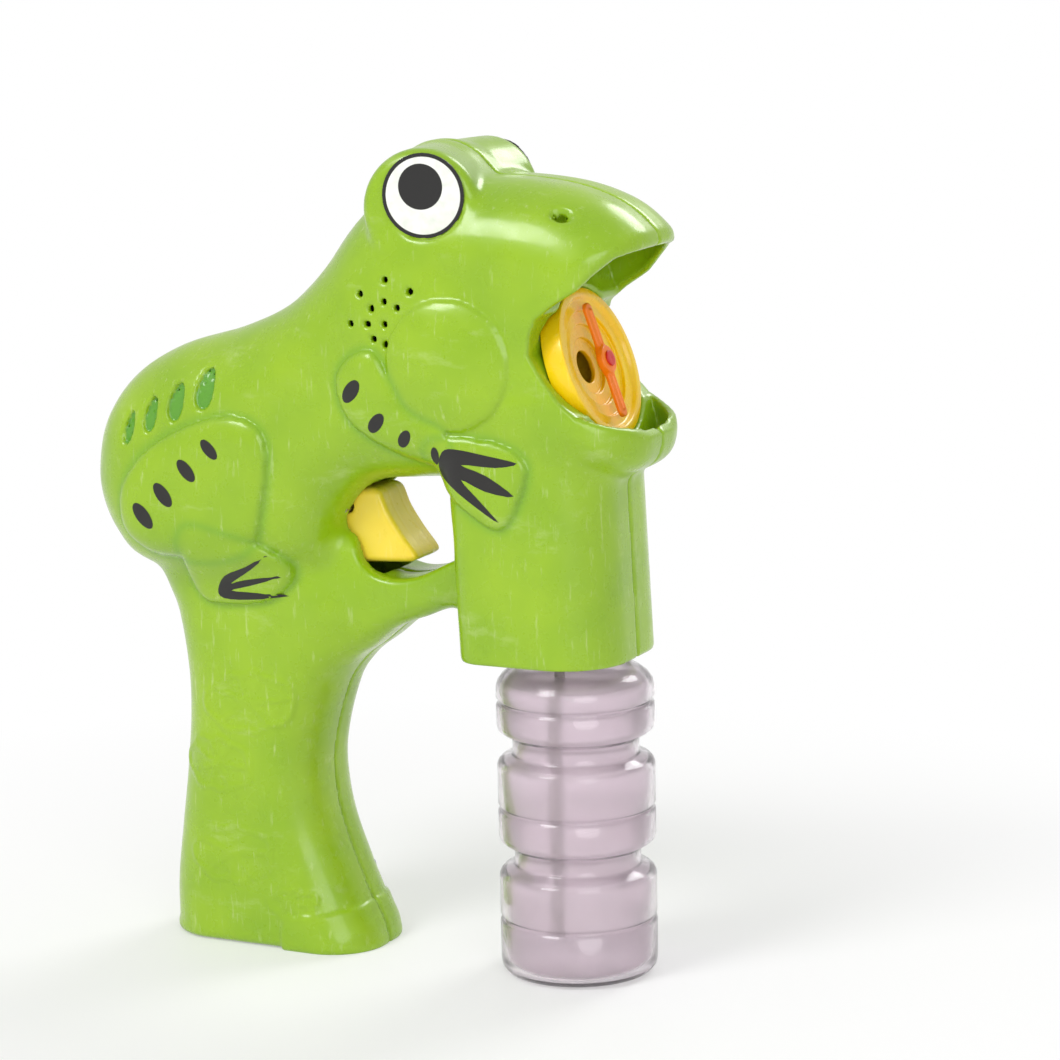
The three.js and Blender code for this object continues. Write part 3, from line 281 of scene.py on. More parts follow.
def new_object(name, points, faces, material):
    """A smooth-shaded mesh object from points in mm in the bottle-axis frame."""
    mesh = bpy.data.meshes.new(name)
    points = (np.array(points, float) + (SHIFT, 0, 0)) * MM
    if isinstance(faces, np.ndarray):
        mesh.vertices.add(len(points))
        mesh.vertices.foreach_set("co", points.ravel())
        mesh.loops.add(faces.size)
        mesh.loops.foreach_set("vertex_index", faces.ravel().astype(np.int32))
        mesh.polygons.add(len(faces))
        mesh.polygons.foreach_set("loop_start", np.arange(len(faces), dtype=np.int32) * faces.shape[1])
        mesh.update(calc_edges=True)
    else:
        mesh.from_pydata([tuple(p) for p in points], [], faces)
    mesh.validate()
    mesh.polygons.foreach_set("use_smooth", [True] * len(mesh.polygons))
    mesh.materials.append(material)
    thing = bpy.data.objects.new(name, mesh)
    bpy.context.scene.collection.objects.link(thing)
    return thing


# ---------------------------------------------------------------- the body's fields
def body_field(g):
    """The outer skin before its openings."""
    x, y, z = g.x, g.y, g.z
    torso = thicken(outline_distance(x, z, smooth_outline(TORSO)), y, BODY_HALF_WIDTH, 17)
    head = thicken(outline_distance(x, z, smooth_outline(HEAD)), y, HEAD_HALF_WIDTH, 18)
    grip = thicken(outline_distance(x, z, smooth_outline(GRIP)), y, GRIP_HALF_WIDTH, 13)
    guard = thicken(outline_distance(x, z, smooth_outline(GUARD)), y, 11.5, 5)
    skirt_height = np.abs(z - (SKIRT_BOTTOM + SKIRT_TOP) / 2) - (SKIRT_TOP - SKIRT_BOTTOM) / 2
    skirt = keep(skirt_plan(x, y, z), skirt_height, 1.0)
    body = join(torso, head, 5)
    for side in (1, -1):
        across = y * side
        c, s = math.cos(EYE_YAW), math.sin(EYE_YAW)
        u, v = (x - EYE_X) * c - across * s, across * c + (x - EYE_X) * s
        flat = EYE_Y + 0.35
        half = (flat + 4) / 2
        eye = box_distance(np.hypot(u, z - EYE_Z), v - flat + half, EYE_RADIUS, half, 3.0)
        body = join(body, eye, 2.5)
        seat_x, seat_z, seat_radius = EYE_DISC
        seat = np.maximum(np.hypot(u - seat_x, z - EYE_Z - seat_z) - seat_radius - 0.3, flat - v)
        body = cut(body, seat, 0.6)
    grip = keep(grip, -z, 2.5)
    body = join(body, join(grip, guard, 6), 4)
    return join(body, skirt, 3)


def with_reliefs(g, body):
    """Raised limbs, cheeks, lily pads and the band round the foot of the grip."""
    x, y, z = g.x, g.y, g.z
    outside = 8 - np.abs(y)

    def raise_by(field, outline, height, edge=0.9):
        return join(field, keep(keep(body - height, outline, edge), outside), 0.5)

    def limb(field, points, height, roll):
        """A limb that swells from nothing at its outline to its height some way in."""
        depth = np.clip(-outline_distance(x, z, smooth_outline(points)) / roll, 0, 1)
        swelling = 0.5 + (height - 0.5) * np.sqrt(depth * (2 - depth))
        return join(field, keep(body - np.where(depth > 0, swelling, -1.0), outside), 0.3)

    cx, cz, radius, height = CHEEK
    dome = np.sqrt(np.clip(1 - ((x - cx) ** 2 + (z - cz) ** 2) / radius ** 2, 0, 1))
    field = join(body, keep(body - np.where(dome > 0, 0.35 + (height - 0.35) * dome, -1.0), outside), 0.3)
    field = limb(field, THIGH, 2.6, 7.0)
    field = limb(field, FOOT, 2.6, 4.5)
    field = limb(field, ARM, 2.2, 4.5)
    field = limb(field, HAND, 2.0, 4.0)
    for cx, cz, rx, rz, turn in LILY_PADS:
        around = np.arctan2(z - cz, x - cx)
        pad = ellipse_distance(x, z, cx, cz, rx, rz, turn) + 0.5 * np.cos(7 * around)
        spokes = np.abs(np.sin(3.5 * (around - math.radians(turn))))
        veins = spokes * np.hypot(x - cx, (z - cz) * 1.6) / 3.5 - 0.35
        lines = np.minimum(np.abs(pad) - 0.5, np.maximum(veins, pad))
        field = raise_by(field, lines, 0.45, 0.3)
    band = keep(z - (6.5 + 4.5 * np.clip((x + 85) / 30, 0, 1)), -75 - x, 3)
    return join(field, keep(body - 0.7, band, 0.5), 0.4)


def vent_drop(x, z, cx, cz, width, height):
    """A drop-shaped slot, widest towards its foot."""
    return ellipse_distance(x, z, cx, cz - 0.8, width / 2 * (1 + 0.3 * (cz - z) / height), height / 2, -14)


def shell_field(g):
    """The moulded skin with its mouth, finger hole, vents, speaker holes, nostrils and hollow inside."""
    x, y, z = g.x, g.y, g.z
    body = body_field(g)
    behind, radius = g.drive()
    mouth = outline_distance(x, z, np.array(MOUTH, float))
    bore = np.maximum(radius - RING_RADIUS - 0.3, behind - 2.7)
    hole = outline_distance(x, z, smooth_outline(FINGER_HOLE))

    def opened(field, edge):
        return cut(cut(cut(field, mouth, edge), bore, 0.6), hole, 2.2 * edge)

    hollow = np.maximum(opened(body, 1.2) + WALL, BULKHEAD_HALF - np.abs(behind + BULKHEAD))
    in_front = np.maximum(np.maximum(body + WALL, behind + BULKHEAD + BULKHEAD_HALF), 130 - z)
    skin = np.maximum(opened(with_reliefs(g, body), 1.0), -hollow)
    skin = cut(skin, in_front, 0.8)
    skin = cut(skin, np.maximum(skirt_plan(x, y, z, WALL), np.abs(z - SKIRT_BOTTOM) - 10), 0.3)
    skin = cut(skin, np.maximum(radius - 15, np.abs(behind - 12) - 12))
    trigger_slot = np.maximum(np.abs(x + 61.5) - 13.5, np.abs(z - 106.8) - 12.2)
    skin = cut(skin, np.maximum(trigger_slot, np.abs(y) - TRIGGER_SLOT_HALF_WIDTH))
    for cx, cz, width, height in VENTS:
        drop = vent_drop(x, z, cx, cz, width, height)
        skin = cut(skin, np.maximum(drop, -(body + VENT_DEPTH)), 0.5)
    for cx, cz in SPEAKER_HOLES:
        skin = cut(skin, np.maximum(np.hypot(x - cx, z - cz) - SPEAKER_HOLE_RADIUS, y + 6), 0.4)
    nx, ny, nz = NOSTRIL
    nostril = np.sqrt(((x - nx) / 3.2) ** 2 + ((np.abs(y) - ny) / 1.9) ** 2 + ((z - nz) / 2.3) ** 2) - 1
    return cut(skin, 2 * nostril, 0.8)


def door_outline(g, grow):
    """Distance to the battery door's outline, grown by some mm."""
    cx, cz, half_x, half_z = DOOR
    return box_distance(g.x - cx, g.z - cz, half_x + grow, half_z + grow, 3)


# ---------------------------------------------------------------- material helpers
def colour(code):
    """An sRGB hex colour as linear RGBA."""
    parts = [int(code[i:i + 2], 16) / 255 for i in (0, 2, 4)]
    return tuple(p / 12.92 if p <= 0.04045 else ((p + 0.055) / 1.055) ** 2.4 for p in parts) + (1.0,)


class Material:
    """A node material: add() makes a node, sets its values and links its inputs."""

    def __init__(self, name, **shader):
        self.data = bpy.data.materials.new(name)
        self.data.use_nodes = True
        self.tree = self.data.node_tree
        self.shader = self.tree.nodes["Principled BSDF"]
        for key, value in shader.items():
            self.shader.inputs[key.replace("_", " ")].default_value = value

    def add(self, kind, settings=(), **inputs):
        node = self.tree.nodes.new("ShaderNode" + kind)
        for key, value in dict(settings).items():
            setattr(node, key, value)
        for key, value in inputs.items():
            socket = node.inputs[int(key[1:])] if key[1:].isdigit() else node.inputs[key.replace("_", " ")]
            if isinstance(value, bpy.types.NodeSocket):
                self.tree.links.new(value, socket)
            else:
                socket.default_value = value
        return node

    def place(self):
        return self.add("NewGeometry").outputs["Position"]

    def noise(self, size_mm, detail=3.0, roughness=0.5, stretch=(1, 1, 1)):
        """Noise whose features are about size_mm across."""
        at = self.add("Mapping", _0=self.place(), Scale=stretch).outputs[0]
        return self.add("TexNoise", Vector=at, Scale=1 / (size_mm * MM), Detail=detail,
                        Roughness=roughness).outputs["Fac"]

    def spread(self, value, low, high, to_low, to_high):
        return self.add("MapRange", Value=value, From_Min=low, From_Max=high, To_Min=to_low,
                        To_Max=to_high).outputs[0]

    def mix(self, factor, a, b):
        return self.add("Mix", {"data_type": "RGBA"}, _0=factor, _6=a, _7=b).outputs[2]

    def link(self, value, name):
        self.tree.links.new(value, self.shader.inputs[name])

    def bump(self, height, depth_mm, strength=1.0):
        bumped = self.add("Bump", Height=height, Distance=depth_mm * MM, Strength=strength)
        self.link(bumped.outputs[0], "Normal")


def moulded_plastic(name, base, dark, roughness=0.3, wear="ffffff", wear_amount=0.25, **shader):
    """Moulded plastic such as ABS: slight colour drift, a fine ripple and hairline scratches."""
    m = Material(name, IOR=1.5, **shader)
    drift = m.spread(m.noise(22, 3), 0.3, 0.7, 0, 1)
    body = m.mix(drift, colour(dark), colour(base))
    hairs = m.spread(m.noise(1.1, 4, 0.7, (1, 1, 0.12)), 0.6, 0.72, 0, wear_amount)
    rubs = m.spread(m.noise(8, 6, 0.75, (0.35, 1, 1)), 0.58, 0.8, 0, wear_amount)
    scuffed = m.mix(rubs, m.mix(hairs, body, colour(wear)), colour(wear))
    m.link(scuffed, "Base Color")
    m.link(m.spread(m.noise(6, 5, 0.6), 0.3, 0.75, roughness - 0.06, roughness + 0.14), "Roughness")
    m.bump(m.noise(3.5, 4, 0.55), 0.05, 0.5)
    return m


def green_shell():
    """Frog-green plastic, paler where it is rubbed, with painted shade in the grooves round the limbs and in
    the vent slots.
    """
    m = moulded_plastic("frog_green_plastic", "98be12", "87b00e", 0.26, "e4efb4", 0.3)
    green = m.shader.inputs["Base Color"].links[0].from_socket
    painted_recess_shade = m.add("Attribute", {"attribute_name": "painted_recess_shade"}).outputs["Fac"]
    # painted shade: the darker green 559a2a is mixed in, up to 0.9, where the recess attribute is high
    shaded = m.mix(m.spread(painted_recess_shade, 0, 1, 0, 0.9), green, colour("559a2a"))
    m.link(shaded, "Base Color")
    m.shader.inputs["Coat Weight"].default_value = 0.25
    m.shader.inputs["Coat Roughness"].default_value = 0.12
    return m.data


def black_ink():
    """Satin black pad-printing ink."""
    m = Material("black_print_ink", IOR=1.5)
    m.link(m.mix(m.noise(3, 4), colour("1b1a19"), colour("24221f")), "Base Color")
    m.link(m.spread(m.noise(1.5, 4), 0.3, 0.7, 0.3, 0.45), "Roughness")
    m.bump(m.noise(1.0, 3), 0.01, 0.4)
    return m.data


def printed_eye(name):
    """A glossy printed disc: black rim, white field and a black pupil towards the top."""
    m = Material(name, IOR=1.5, Roughness=0.12)
    at = m.add("SeparateXYZ", _0=m.place())
    x0, z0 = (EYE_X + EYE_DISC[0] + SHIFT) * MM, (EYE_Z + EYE_DISC[1]) * MM
    lean = 1 / math.cos(EYE_YAW)
    x_shift = math.sin(EYE_YAW) * (EYE_Y + 0.4) * MM

    def distance(dx, dz):
        u = m.add("Math", {"operation": "MULTIPLY_ADD"}, _0=at.outputs[0], _1=lean,
                  _2=-(x0 + x_shift + dx * MM) * lean)
        v = m.add("Math", {"operation": "SUBTRACT"}, _0=at.outputs[2], _1=z0 + dz * MM)
        return m.add("VectorMath", {"operation": "LENGTH"},
                     _0=m.add("CombineXYZ", X=u.outputs[0], Y=v.outputs[0]).outputs[0]).outputs[1]

    pupil = m.spread(distance(-0.6, 2.1), 5.35 * MM, 5.45 * MM, 1, 0)
    rim = m.spread(distance(0, 0), 9.05 * MM, 9.15 * MM, 0, 1)
    black = m.add("Math", {"operation": "MAXIMUM"}, _0=pupil, _1=rim).outputs[0]
    white = m.mix(m.spread(m.noise(2, 4), 0.35, 0.7, 0, 1), colour("f4f5ef"), colour("e4e8de"))
    m.link(m.mix(black, white, colour("1d1c1b")), "Base Color")
    m.bump(m.noise(1.5, 3), 0.02, 0.4)
    return m.data


def steel(name, base="b9bcc0", roughness=0.28):
    """Metal with a fine upright grain, which streaks its highlights a little."""
    m = Material(name, Metallic=1.0)
    m.link(m.mix(m.noise(5, 4), colour(base), colour("8c9094")), "Base Color")
    grain = m.noise(1.2, 5, 0.6, (1, 1, 0.1))
    m.link(m.spread(grain, 0.3, 0.7, roughness - 0.08, roughness + 0.12), "Roughness")
    m.bump(m.noise(0.6, 3), 0.01, 0.4)
    return m.data


def clear_plastic(name, tint, roughness, amount=0.92):
    """Blown bottle plastic: clear, a little cloudy, with a fine ripple."""
    m = Material(name, IOR=1.45, Transmission_Weight=amount)
    m.link(m.mix(m.noise(14, 3), colour(tint), colour("fefafd")), "Base Color")
    m.link(m.spread(m.noise(8, 4), 0.3, 0.7, roughness, roughness + 0.08), "Roughness")
    m.bump(m.noise(4, 3), 0.06, 0.5)
    return m.data


def milky_solution():
    """Bubble solution with a faint pink cast and fine foam near its top."""
    m = Material("pink_bubble_solution", IOR=1.34, Roughness=0.3, Transmission_Weight=0.72)
    height = m.add("SeparateXYZ", _0=m.place()).outputs[2]
    foam = m.add("TexVoronoi", Vector=m.place(), Scale=1 / (2.2 * MM)).outputs["Distance"]
    near_top = m.spread(height, 66 * MM, 72 * MM, 0, 0.8)
    cells = m.spread(foam, 0.12, 0.3, 1, 0)
    froth = m.add("Math", {"operation": "MULTIPLY"}, _0=near_top, _1=cells).outputs[0]
    liquid = m.mix(m.noise(20, 2), colour("fdeff7"), colour("fff6fb"))
    m.link(m.mix(froth, liquid, colour("ffffff")), "Base Color")
    return m.data


# ---------------------------------------------------------------- pieces
STEP = 0.7


def painted_shade_amount(points):
    """How much painted shade a point takes, 0 to 1: a faint band of painted shade in the grooves round the
    limbs, and full painted shade inside the vent slots.
    """
    x, z = points[:, 0].astype(np.float32), points[:, 2].astype(np.float32)
    amount = np.zeros(len(points))
    # painted shade: a faint band just outside each limb's outline
    for outline in (THIGH, FOOT, ARM, HAND):
        away = outline_distance(x, z, smooth_outline(outline))
        amount = np.maximum(amount, 0.35 * np.exp(-((away - 0.5) / 1.1) ** 2))
    # painted shade: the whole inside of each vent slot
    for cx, cz, width, height in VENTS:
        amount = np.where(vent_drop(x, z, cx, cz, width, height) < -0.1, 1.0, amount)
    return np.where(np.abs(points[:, 1]) > 12, amount, 0)


def shell_piece(name, points, quads, material, body, node):
    """A piece of green skin that carries its painted recess shade values and takes the place of one CAD
    node.
    """
    piece = new_object(name, points, quads, material)
    layer = piece.data.attributes.new("painted_recess_shade", "FLOAT", "POINT")
    layer.data.foreach_set("value", painted_shade_amount(points).astype(np.float32))
    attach(piece, body)
    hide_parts(node)
    return piece


def ellipse_outline(cx, cz, half_length, half_width, turn, count=28):
    """Points round an ellipse turned by some degrees."""
    c, s = math.cos(math.radians(turn)), math.sin(math.radians(turn))
    rows = []
    for i in range(count):
        u = half_length * math.cos(2 * math.pi * i / count)
        v = half_width * math.sin(2 * math.pi * i / count)
        rows.append((cx + u * c - v * s, cz + u * s + v * c))
    return np.array(rows)


def filled(outline, step=0.5):
    """Points and triangles that fill a closed outline finely enough to bend over a curved skin."""
    low, high = outline.min(0), outline.max(0)
    x, z = np.meshgrid(np.arange(low[0], high[0], step), np.arange(low[1], high[1], step))
    well_inside = outline_distance(x, z, outline) < -0.3 * step
    within = np.stack([x[well_inside], z[well_inside]], 1)
    points = [Vector(p) for p in outline] + [Vector(p) for p in within]
    loop = [list(range(len(outline)))]
    points, _, faces, *_ = delaunay_2d_cdt(points, [], loop, 1, 1e-5)
    return points, faces


def print_on(name, shell, side, outlines, material, lift=0.06):
    """A printed film: outlines laid on a flank of the shell, a hair above its skin."""
    tree = BVHTree.FromObject(shell, bpy.context.evaluated_depsgraph_get())
    points, faces = [], []
    for outline in outlines:
        flat, triangles = filled(outline)
        start = len(points)
        for p in flat:
            origin = Vector(((p.x + SHIFT) * MM, side * 0.06, p.y * MM))
            hit = tree.ray_cast(origin, Vector((0, -side, 0)))[0]
            points.append((p.x, hit.y / MM + side * lift, p.y))
        faces += [[start + i for i in (t if side < 0 else t[::-1])] for t in triangles]
    film = new_object(name, points, faces, material)
    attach(film, "housing")


def add_shells():
    """The two shell halves with their prints, and the battery door."""
    green = green_shell()
    ink = black_ink()
    limb_prints = [smooth_outline(HAND_PRINT, 3), smooth_outline(FOOT_PRINT, 3)]
    limb_prints += [ellipse_outline(*spot) for spot in SPOTS]
    low, high = (-126.5, 26.5), (26, 202.6)
    for side, name, node in ((-1, "right_body_shell", "right_shell"), (1, "left_body_shell", "left_shell")):
        ends = (-28, 0.6) if side < 0 else (-0.6, 28)
        g = Grid((low[0], ends[0], -1.2), (high[0], ends[1], high[1]), STEP)
        half = keep(shell_field(g), SEAM - side * g.y, 0.3)
        if side > 0:
            for cx, cz in SCREWS:
                well = np.hypot(g.x - cx, g.z - cz) - SCREW_HOLE_RADIUS
                half = cut(half, np.maximum(well, 9 - g.y), 0.3)
            half = cut(half, np.maximum(door_outline(g, 0.35), 5 - g.y), 0.3)
        shell = shell_piece(name, *surface(g, half), green, "housing", node)
        print_on(name + "_print", shell, side, limb_prints, ink)
    cx, cz, half_x, half_z = DOOR
    g = Grid((cx - half_x - 2, 4, cz - half_z - 2), (cx + half_x + 2, 20, cz + half_z + 2), STEP)
    panel = keep(keep(whole_door(g), door_outline(g, -0.1), 0.4), 5 - g.y)
    shell_piece("battery_cover", *surface(g, panel), green, "door_body", "battery_door")


def whole_door(g):
    """The door's own skin, with a ribbed thumb patch at its top."""
    skin = body_field(g)
    ribs = np.abs(np.mod(g.z - 55, 2.0) - 1.0) - 0.45
    patch = np.maximum(np.abs(g.x + 85.5) - 7, np.abs(g.z - 58) - 4)
    ribbed = join(skin, np.maximum(np.maximum(skin - 0.5, ribs), patch), 0.3)
    return np.maximum(ribbed, -(skin + 1.8))


def turned_piece(name, profile, material, segments=96, drive=False, closed=True):
    """A piece turned about Z, or about the drive line when drive is set; profile is radius, height."""
    points, faces = [], []
    rows = len(profile)
    for radius, height in profile:
        for i in range(segments):
            angle = 2 * math.pi * i / segments
            points.append((radius * math.cos(angle), radius * math.sin(angle), height))
    for j in range(rows if closed else rows - 1):
        for i in range(segments):
            a, b = j * segments + i, j * segments + (i + 1) % segments
            c, d = ((j + 1) % rows) * segments + (i + 1) % segments, ((j + 1) % rows) * segments + i
            faces.append((a, b, c, d))
    points = np.array(points)
    if drive:
        points = on_drive(points)
    return new_object(name, points, faces, material)


def on_drive(points):
    """Points built about Z put on the drive line, Z running rearwards from the ring."""
    c, s = math.cos(PITCH), math.sin(PITCH)
    up, across, behind = points[:, 0], points[:, 1], points[:, 2]
    return np.stack([RING[0] - s * up - c * behind, across, RING[2] + c * up - s * behind], 1)


def rounded_profile(points, radius=0.5, steps=3):
    """A closed profile with each corner turned on a small arc."""
    rows = []
    count = len(points)
    for i in range(count):
        before, at, after = (Vector(points[(i + k) % count]) for k in (-1, 0, 1))
        r = min(radius, (before - at).length * 0.45, (after - at).length * 0.45)
        a, b = at + (before - at).normalized() * r, at + (after - at).normalized() * r
        for k in range(steps + 1):
            t = k / steps
            rows.append(tuple((1 - t) ** 2 * a + 2 * t * (1 - t) * at + t ** 2 * b))
    return rows


def add_mouth():
    """The stepped ring in the mouth, and the wiper that sweeps it."""
    yellow = moulded_plastic("yellow_ring_plastic", "fdd800", "ffc200", 0.24, "fff6b0", 0.2,
                             Coat_Weight=0.3).data
    orange = moulded_plastic("orange_wiper_plastic", "ff8a10", "f87400", 0.3, "ffc890", 0.2).data
    R = RING_RADIUS
    profile = [(4.0, 2.4), (4.0, 1.2)]
    for i, inner in enumerate((7.0, 10.0, 13.0)):
        depth = 1.2 - i
        profile += [(inner, depth), (inner, depth - 1.0)]
    profile += [(15.6, -1.8), (16.4, -3), (R, -3), (R, 2.4)]
    ring = turned_piece("mouth_dish", rounded_profile(profile, 0.35), yellow, 120, drive=True)
    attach(ring, "housing")
    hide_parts("mouth_ring")
    g = Grid((-15.4, -4.4, -6.2), (15.4, 4.4, -2.4), 0.28)
    blade = box_distance(g.x, g.y, 14.2, 1.7, 1.6)
    blade = keep(blade, np.abs(g.z + 4.0) - 0.6, 0.5)
    hub = keep(np.hypot(g.x, g.y) - 3.4, np.abs(g.z + 4.4) - 1.0, 0.6)
    rib = keep(keep(np.abs(g.y) - 0.45, np.abs(g.x) - 12.5), np.abs(g.z + 4.7) - 0.5, 0.3)
    field = join(join(blade, hub, 0.8), rib, 0.4)
    points, quads = surface(g, field)
    wiper = new_object("wiper_arm", on_drive(points), quads, orange)
    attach(wiper, "pump_body")
    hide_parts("wiper")
    red = moulded_plastic("red_cap_plastic", "e02a20", "c81c16", 0.25, "ffb0a0", 0.15).data
    cap_side = rounded_profile([(0.02, -5.9), (1.9, -5.9), (1.9, -5.3), (0.02, -5.3)], 0.25)
    knob = turned_piece("wiper_cap", cap_side, red, 40, drive=True)
    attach(knob, "pump_body")


def add_trigger():
    """The yellow lever: two faint ridges down its face, a hole for its pin and a pocket round it."""
    yellow = moulded_plastic("trigger_plastic", "fbe04a", "f4cf2c", 0.28, "fff8cc", 0.25,
                             Coat_Weight=0.2).data
    g = Grid((-62, -8.4, 96), (-37, 8.4, 119.5), 0.34)
    side = outline_distance(g.x, g.z, smooth_outline(TRIGGER))
    ribs = thicken(side, np.abs(g.y) - 2.6, 0.5, 0.45)
    field = join(thicken(side, g.y, TRIGGER_HALF_WIDTH, 1.6), ribs, 0.3)
    px, pz = PIVOT
    pocket = np.maximum(np.maximum(g.x - px - 3.2, pz - 3.4 - g.z), np.abs(g.y) - 3)
    field = cut(cut(field, pocket), np.hypot(g.x - px, g.z - pz) - PIN_HOLE_RADIUS)
    points, quads = surface(g, field)
    piece = new_object("trigger_lever", points, quads, yellow)
    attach(piece, "trigger_body")
    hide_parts("trigger")


def bottle_side(inset=0.0):
    """The bottle's outer profile, from its base edge to the start of its neck."""
    R, groove, neck = BOTTLE_RADIUS - inset, 15.4 - inset, 11.5 - inset
    side = [(R - 2.8, inset), (R - 1.2, 0.5 + inset), (R - 0.3, 1.6 + inset), (R, 3.2 + inset)]
    for notch in (13.6, 41.2, 67.6):
        side += [(R, notch - 1.1), (R - 0.35, notch - 0.7), (R - 0.75, notch - 0.15)]
        side += [(R - 0.75, notch + 0.15), (R - 0.35, notch + 0.7), (R, notch + 1.1)]
        if notch < 60:
            side += [(R, notch + 10.4), (R - 0.3, notch + 11.3), (R - 0.9, notch + 11.9)]
            side += [(R - 3.3, notch + 12.9), (groove, notch + 13.8), (groove, notch + 17.0)]
            side += [(R - 3.3, notch + 17.9), (R - 1.1, notch + 18.9), (R - 0.3, notch + 19.6)]
            side += [(R, notch + 20.6)]
    side += [(R, 71.0), (R - 0.4, 72.4), (R - 1.4, 73.8), (R - 3, 75.0), (R - 5, 76.0), (neck + 1, 77.4),
             (neck, 78.6)]
    return side


def add_bottle():
    """The blown bottle with its two thread rings, and the solution that fills it."""
    clear = clear_plastic("blown_bottle_plastic", "fdf4fa", 0.06)
    liquid = milky_solution()
    rim, neck = 94.4, 11.1
    outer = [(0.02, 0.9), (14.5, 0.9)] + bottle_side() + [(neck, 79.4)]
    for thread in (85, 89):
        outer += [(neck, thread), (neck + 1, thread + 0.8), (neck + 1, thread + 1.6), (neck, thread + 2.4)]
    outer += [(neck, rim), (neck - 1.3, rim), (neck - 1.3, 79)]
    inner = bottle_side(1.2)[::-1] + [(14, 2.1), (0.02, 2.1)]
    bottle = turned_piece("grooved_bottle", outer + inner, clear, 128, closed=False)
    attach(bottle, "bottle_body")
    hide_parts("bottle")
    level = 72.5
    wet = [(r, z) for r, z in bottle_side(1.5) if z < level]
    brim = wet[-1][0]
    fill = [(0.02, 2.4), (14, 2.4)] + wet
    fill += [(brim - 0.3, level - 0.2), (brim - 0.9, level), (0.02, level)]
    solution = turned_piece("solution_fill", fill, liquid, 128, closed=False)
    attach(solution, "bottle_body")
    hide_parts("bubble_solution")


def dress_cad():
    """Materials for the pieces that stay as the CAD made them."""
    white = moulded_plastic("white_plastic", "efeeea", "e3e2dc", 0.35, "ffffff", 0.15).data
    black = moulded_plastic("black_plastic", "232427", "1a1b1d", 0.38, "6a6c70", 0.15).data
    yellow = moulded_plastic("chamber_plastic", "f7d930", "f0c818", 0.3, "fff2b0", 0.15).data
    wrap = moulded_plastic("battery_wrap", "2c2d33", "202126", 0.25, "8a8c92", 0.2).data
    board = moulded_plastic("board_green", "2f6b3a", "255a30", 0.3, "9cc8a4", 0.2).data
    rubber = moulded_plastic("seal_rubber", "85888b", "75787b", 0.7, "a0a2a4", 0.1).data
    tube = clear_plastic("soft_tube", "efe9dc", 0.2, 0.6)
    metal, brass = steel("plated_steel"), steel("gear_brass", "c9a24e", 0.25)
    groups = {
        white: ["pump_rotor", "pump_housing", "gear_frame", "compound_gear", "fan", "fan_housing",
                "air_duct", "neck_cap", "pump_roller_1", "pump_roller_2", "pump_roller_3"],
        black: ["trigger_switch", "battery_tray", "speaker"],
        yellow: ["air_chamber"],
        wrap: ["battery_1", "battery_2", "battery_3"],
        board: ["circuit_board"],
        rubber: ["neck_seal"],
        tube: ["pump_tube", "dip_tube"],
        brass: ["motor_pinion"],
        metal: ["gear_axle", "motor_can", "motor_shaft", "trigger_pin", "trigger_spring"]
        + [f"battery_spring_{i}" for i in (1, 2, 3)] + [f"battery_contact_{i}" for i in (1, 2, 3)]
        + [f"shell_screw_{i}" for i in range(1, 7)],
        printed_eye("printed_eye"): ["right_eye", "left_eye"],
    }
    for material, names in groups.items():
        for name in names:
            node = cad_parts[name]
            node.data.materials.clear()
            node.data.materials.append(material)


# ---------------------------------------------------------------- floor, light and camera
def seen_directly(tree):
    """1 for rays that show a thing to the camera, straight or by way of gloss or clear plastic."""
    path = tree.nodes.new("ShaderNodeLightPath")
    value = path.outputs["Is Camera Ray"]
    for name in ("Is Glossy Ray", "Is Transmission Ray"):
        either = tree.nodes.new("ShaderNodeMath")
        either.operation = "MAXIMUM"
        tree.links.new(value, either.inputs[0])
        tree.links.new(path.outputs[name], either.inputs[1])
        value = either.outputs[0]
    return value


def add_floor():
    """A plain pale floor that fades into the white background."""
    m = Material("pale_floor", Roughness=0.6)
    m.link(m.mix(m.noise(400, 2), colour("f6f6f5"), colour("fafaf9")), "Base Color")
    away = m.add("VectorMath", {"operation": "LENGTH"}, _0=m.place()).outputs["Value"]
    faded = m.add("Math", {"operation": "MULTIPLY"}, _0=m.spread(away, 0.1, 0.26, 0.35, 1),
                  _1=seen_directly(m.tree)).outputs[0]
    white = m.add("Emission", Color=(1, 1, 1, 1), Strength=1.0).outputs[0]
    surface_shader = m.add("MixShader", _0=faded, _1=m.shader.outputs[0], _2=white).outputs[0]
    m.tree.links.new(surface_shader, m.tree.nodes["Material Output"].inputs["Surface"])
    size = 6000
    corners = [(x, y, -FLOOR_DROP) for x, y in ((-size, -size), (size, -size), (size, size), (-size, size))]
    new_object("floor", corners, [(0, 1, 2, 3)], m.data)


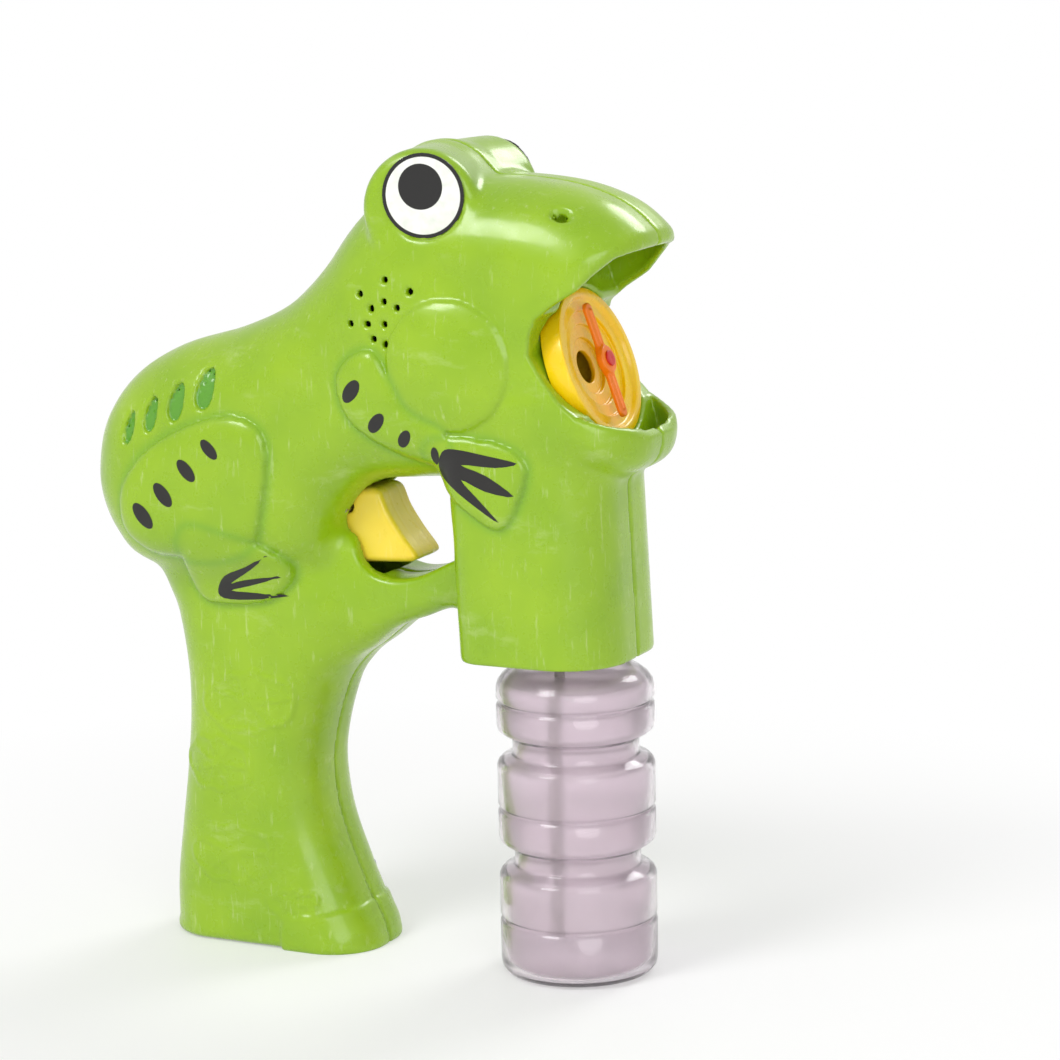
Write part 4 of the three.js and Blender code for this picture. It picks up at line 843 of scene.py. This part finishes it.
def add_light(name, at, size, power):
    """A round soft light aimed at the middle of the toy."""
    data = bpy.data.lights.new(name, "AREA")
    data.shape, data.size, data.energy = "DISK", size, power
    lamp = bpy.data.objects.new(name, data)
    lamp.location = at
    lamp.rotation_euler = (Vector((0, 0, 0.1)) - Vector(at)).to_track_quat("-Z", "Y").to_euler()
    bpy.context.scene.collection.objects.link(lamp)


def add_world():
    """A white room: half strength as light, full strength where it is seen."""
    world = bpy.data.worlds.new("studio")
    bpy.context.scene.world = world
    world.use_nodes = True
    tree = world.node_tree
    plain = tree.nodes["Background"]
    plain.inputs["Color"].default_value = (1, 1, 1, 1)
    plain.inputs["Strength"].default_value = 0.5
    seen = tree.nodes.new("ShaderNodeBackground")
    seen.inputs["Strength"].default_value = 1.0
    pick = tree.nodes.new("ShaderNodeMixShader")
    tree.links.new(seen_directly(tree), pick.inputs[0])
    tree.links.new(plain.outputs[0], pick.inputs[1])
    tree.links.new(seen.outputs[0], pick.inputs[2])
    tree.links.new(pick.outputs[0], tree.nodes["World Output"].inputs["Surface"])


def add_camera():
    """A view from in front of the right flank, a little above, from under a metre."""
    turn, rise, roll, distance = math.radians(26), math.radians(11), math.radians(-1.2), 0.85
    ahead = Vector((-math.sin(turn) * math.cos(rise), math.cos(turn) * math.cos(rise), -math.sin(rise)))
    right = Vector((math.cos(turn), math.sin(turn), 0))
    up = right.cross(ahead)
    right, up = (math.cos(roll) * right + math.sin(roll) * up, math.cos(roll) * up - math.sin(roll) * right)
    target = Vector((39.3, 0, 108.3)) * MM
    data = bpy.data.cameras.new("camera")
    data.sensor_width, data.lens = 36.0, 119.8
    camera = bpy.data.objects.new("camera", data)
    axes = Matrix((right, up, -ahead)).transposed()
    camera.matrix_world = Matrix.Translation(target - ahead * distance) @ axes.to_4x4()
    bpy.context.scene.collection.objects.link(camera)
    bpy.context.scene.camera = camera


add_shells()
add_mouth()
add_trigger()
add_bottle()
dress_cad()
add_floor()
add_world()
add_light("key", (-0.5, -1.1, 1.2), 0.7, 12)
add_light("fill", (0.9, -1.0, 0.5), 0.9, 5)
add_light("rim", (0.3, 1.0, 1.0), 0.6, 6)
add_camera()
bpy.context.scene.view_settings.view_transform = "Standard"
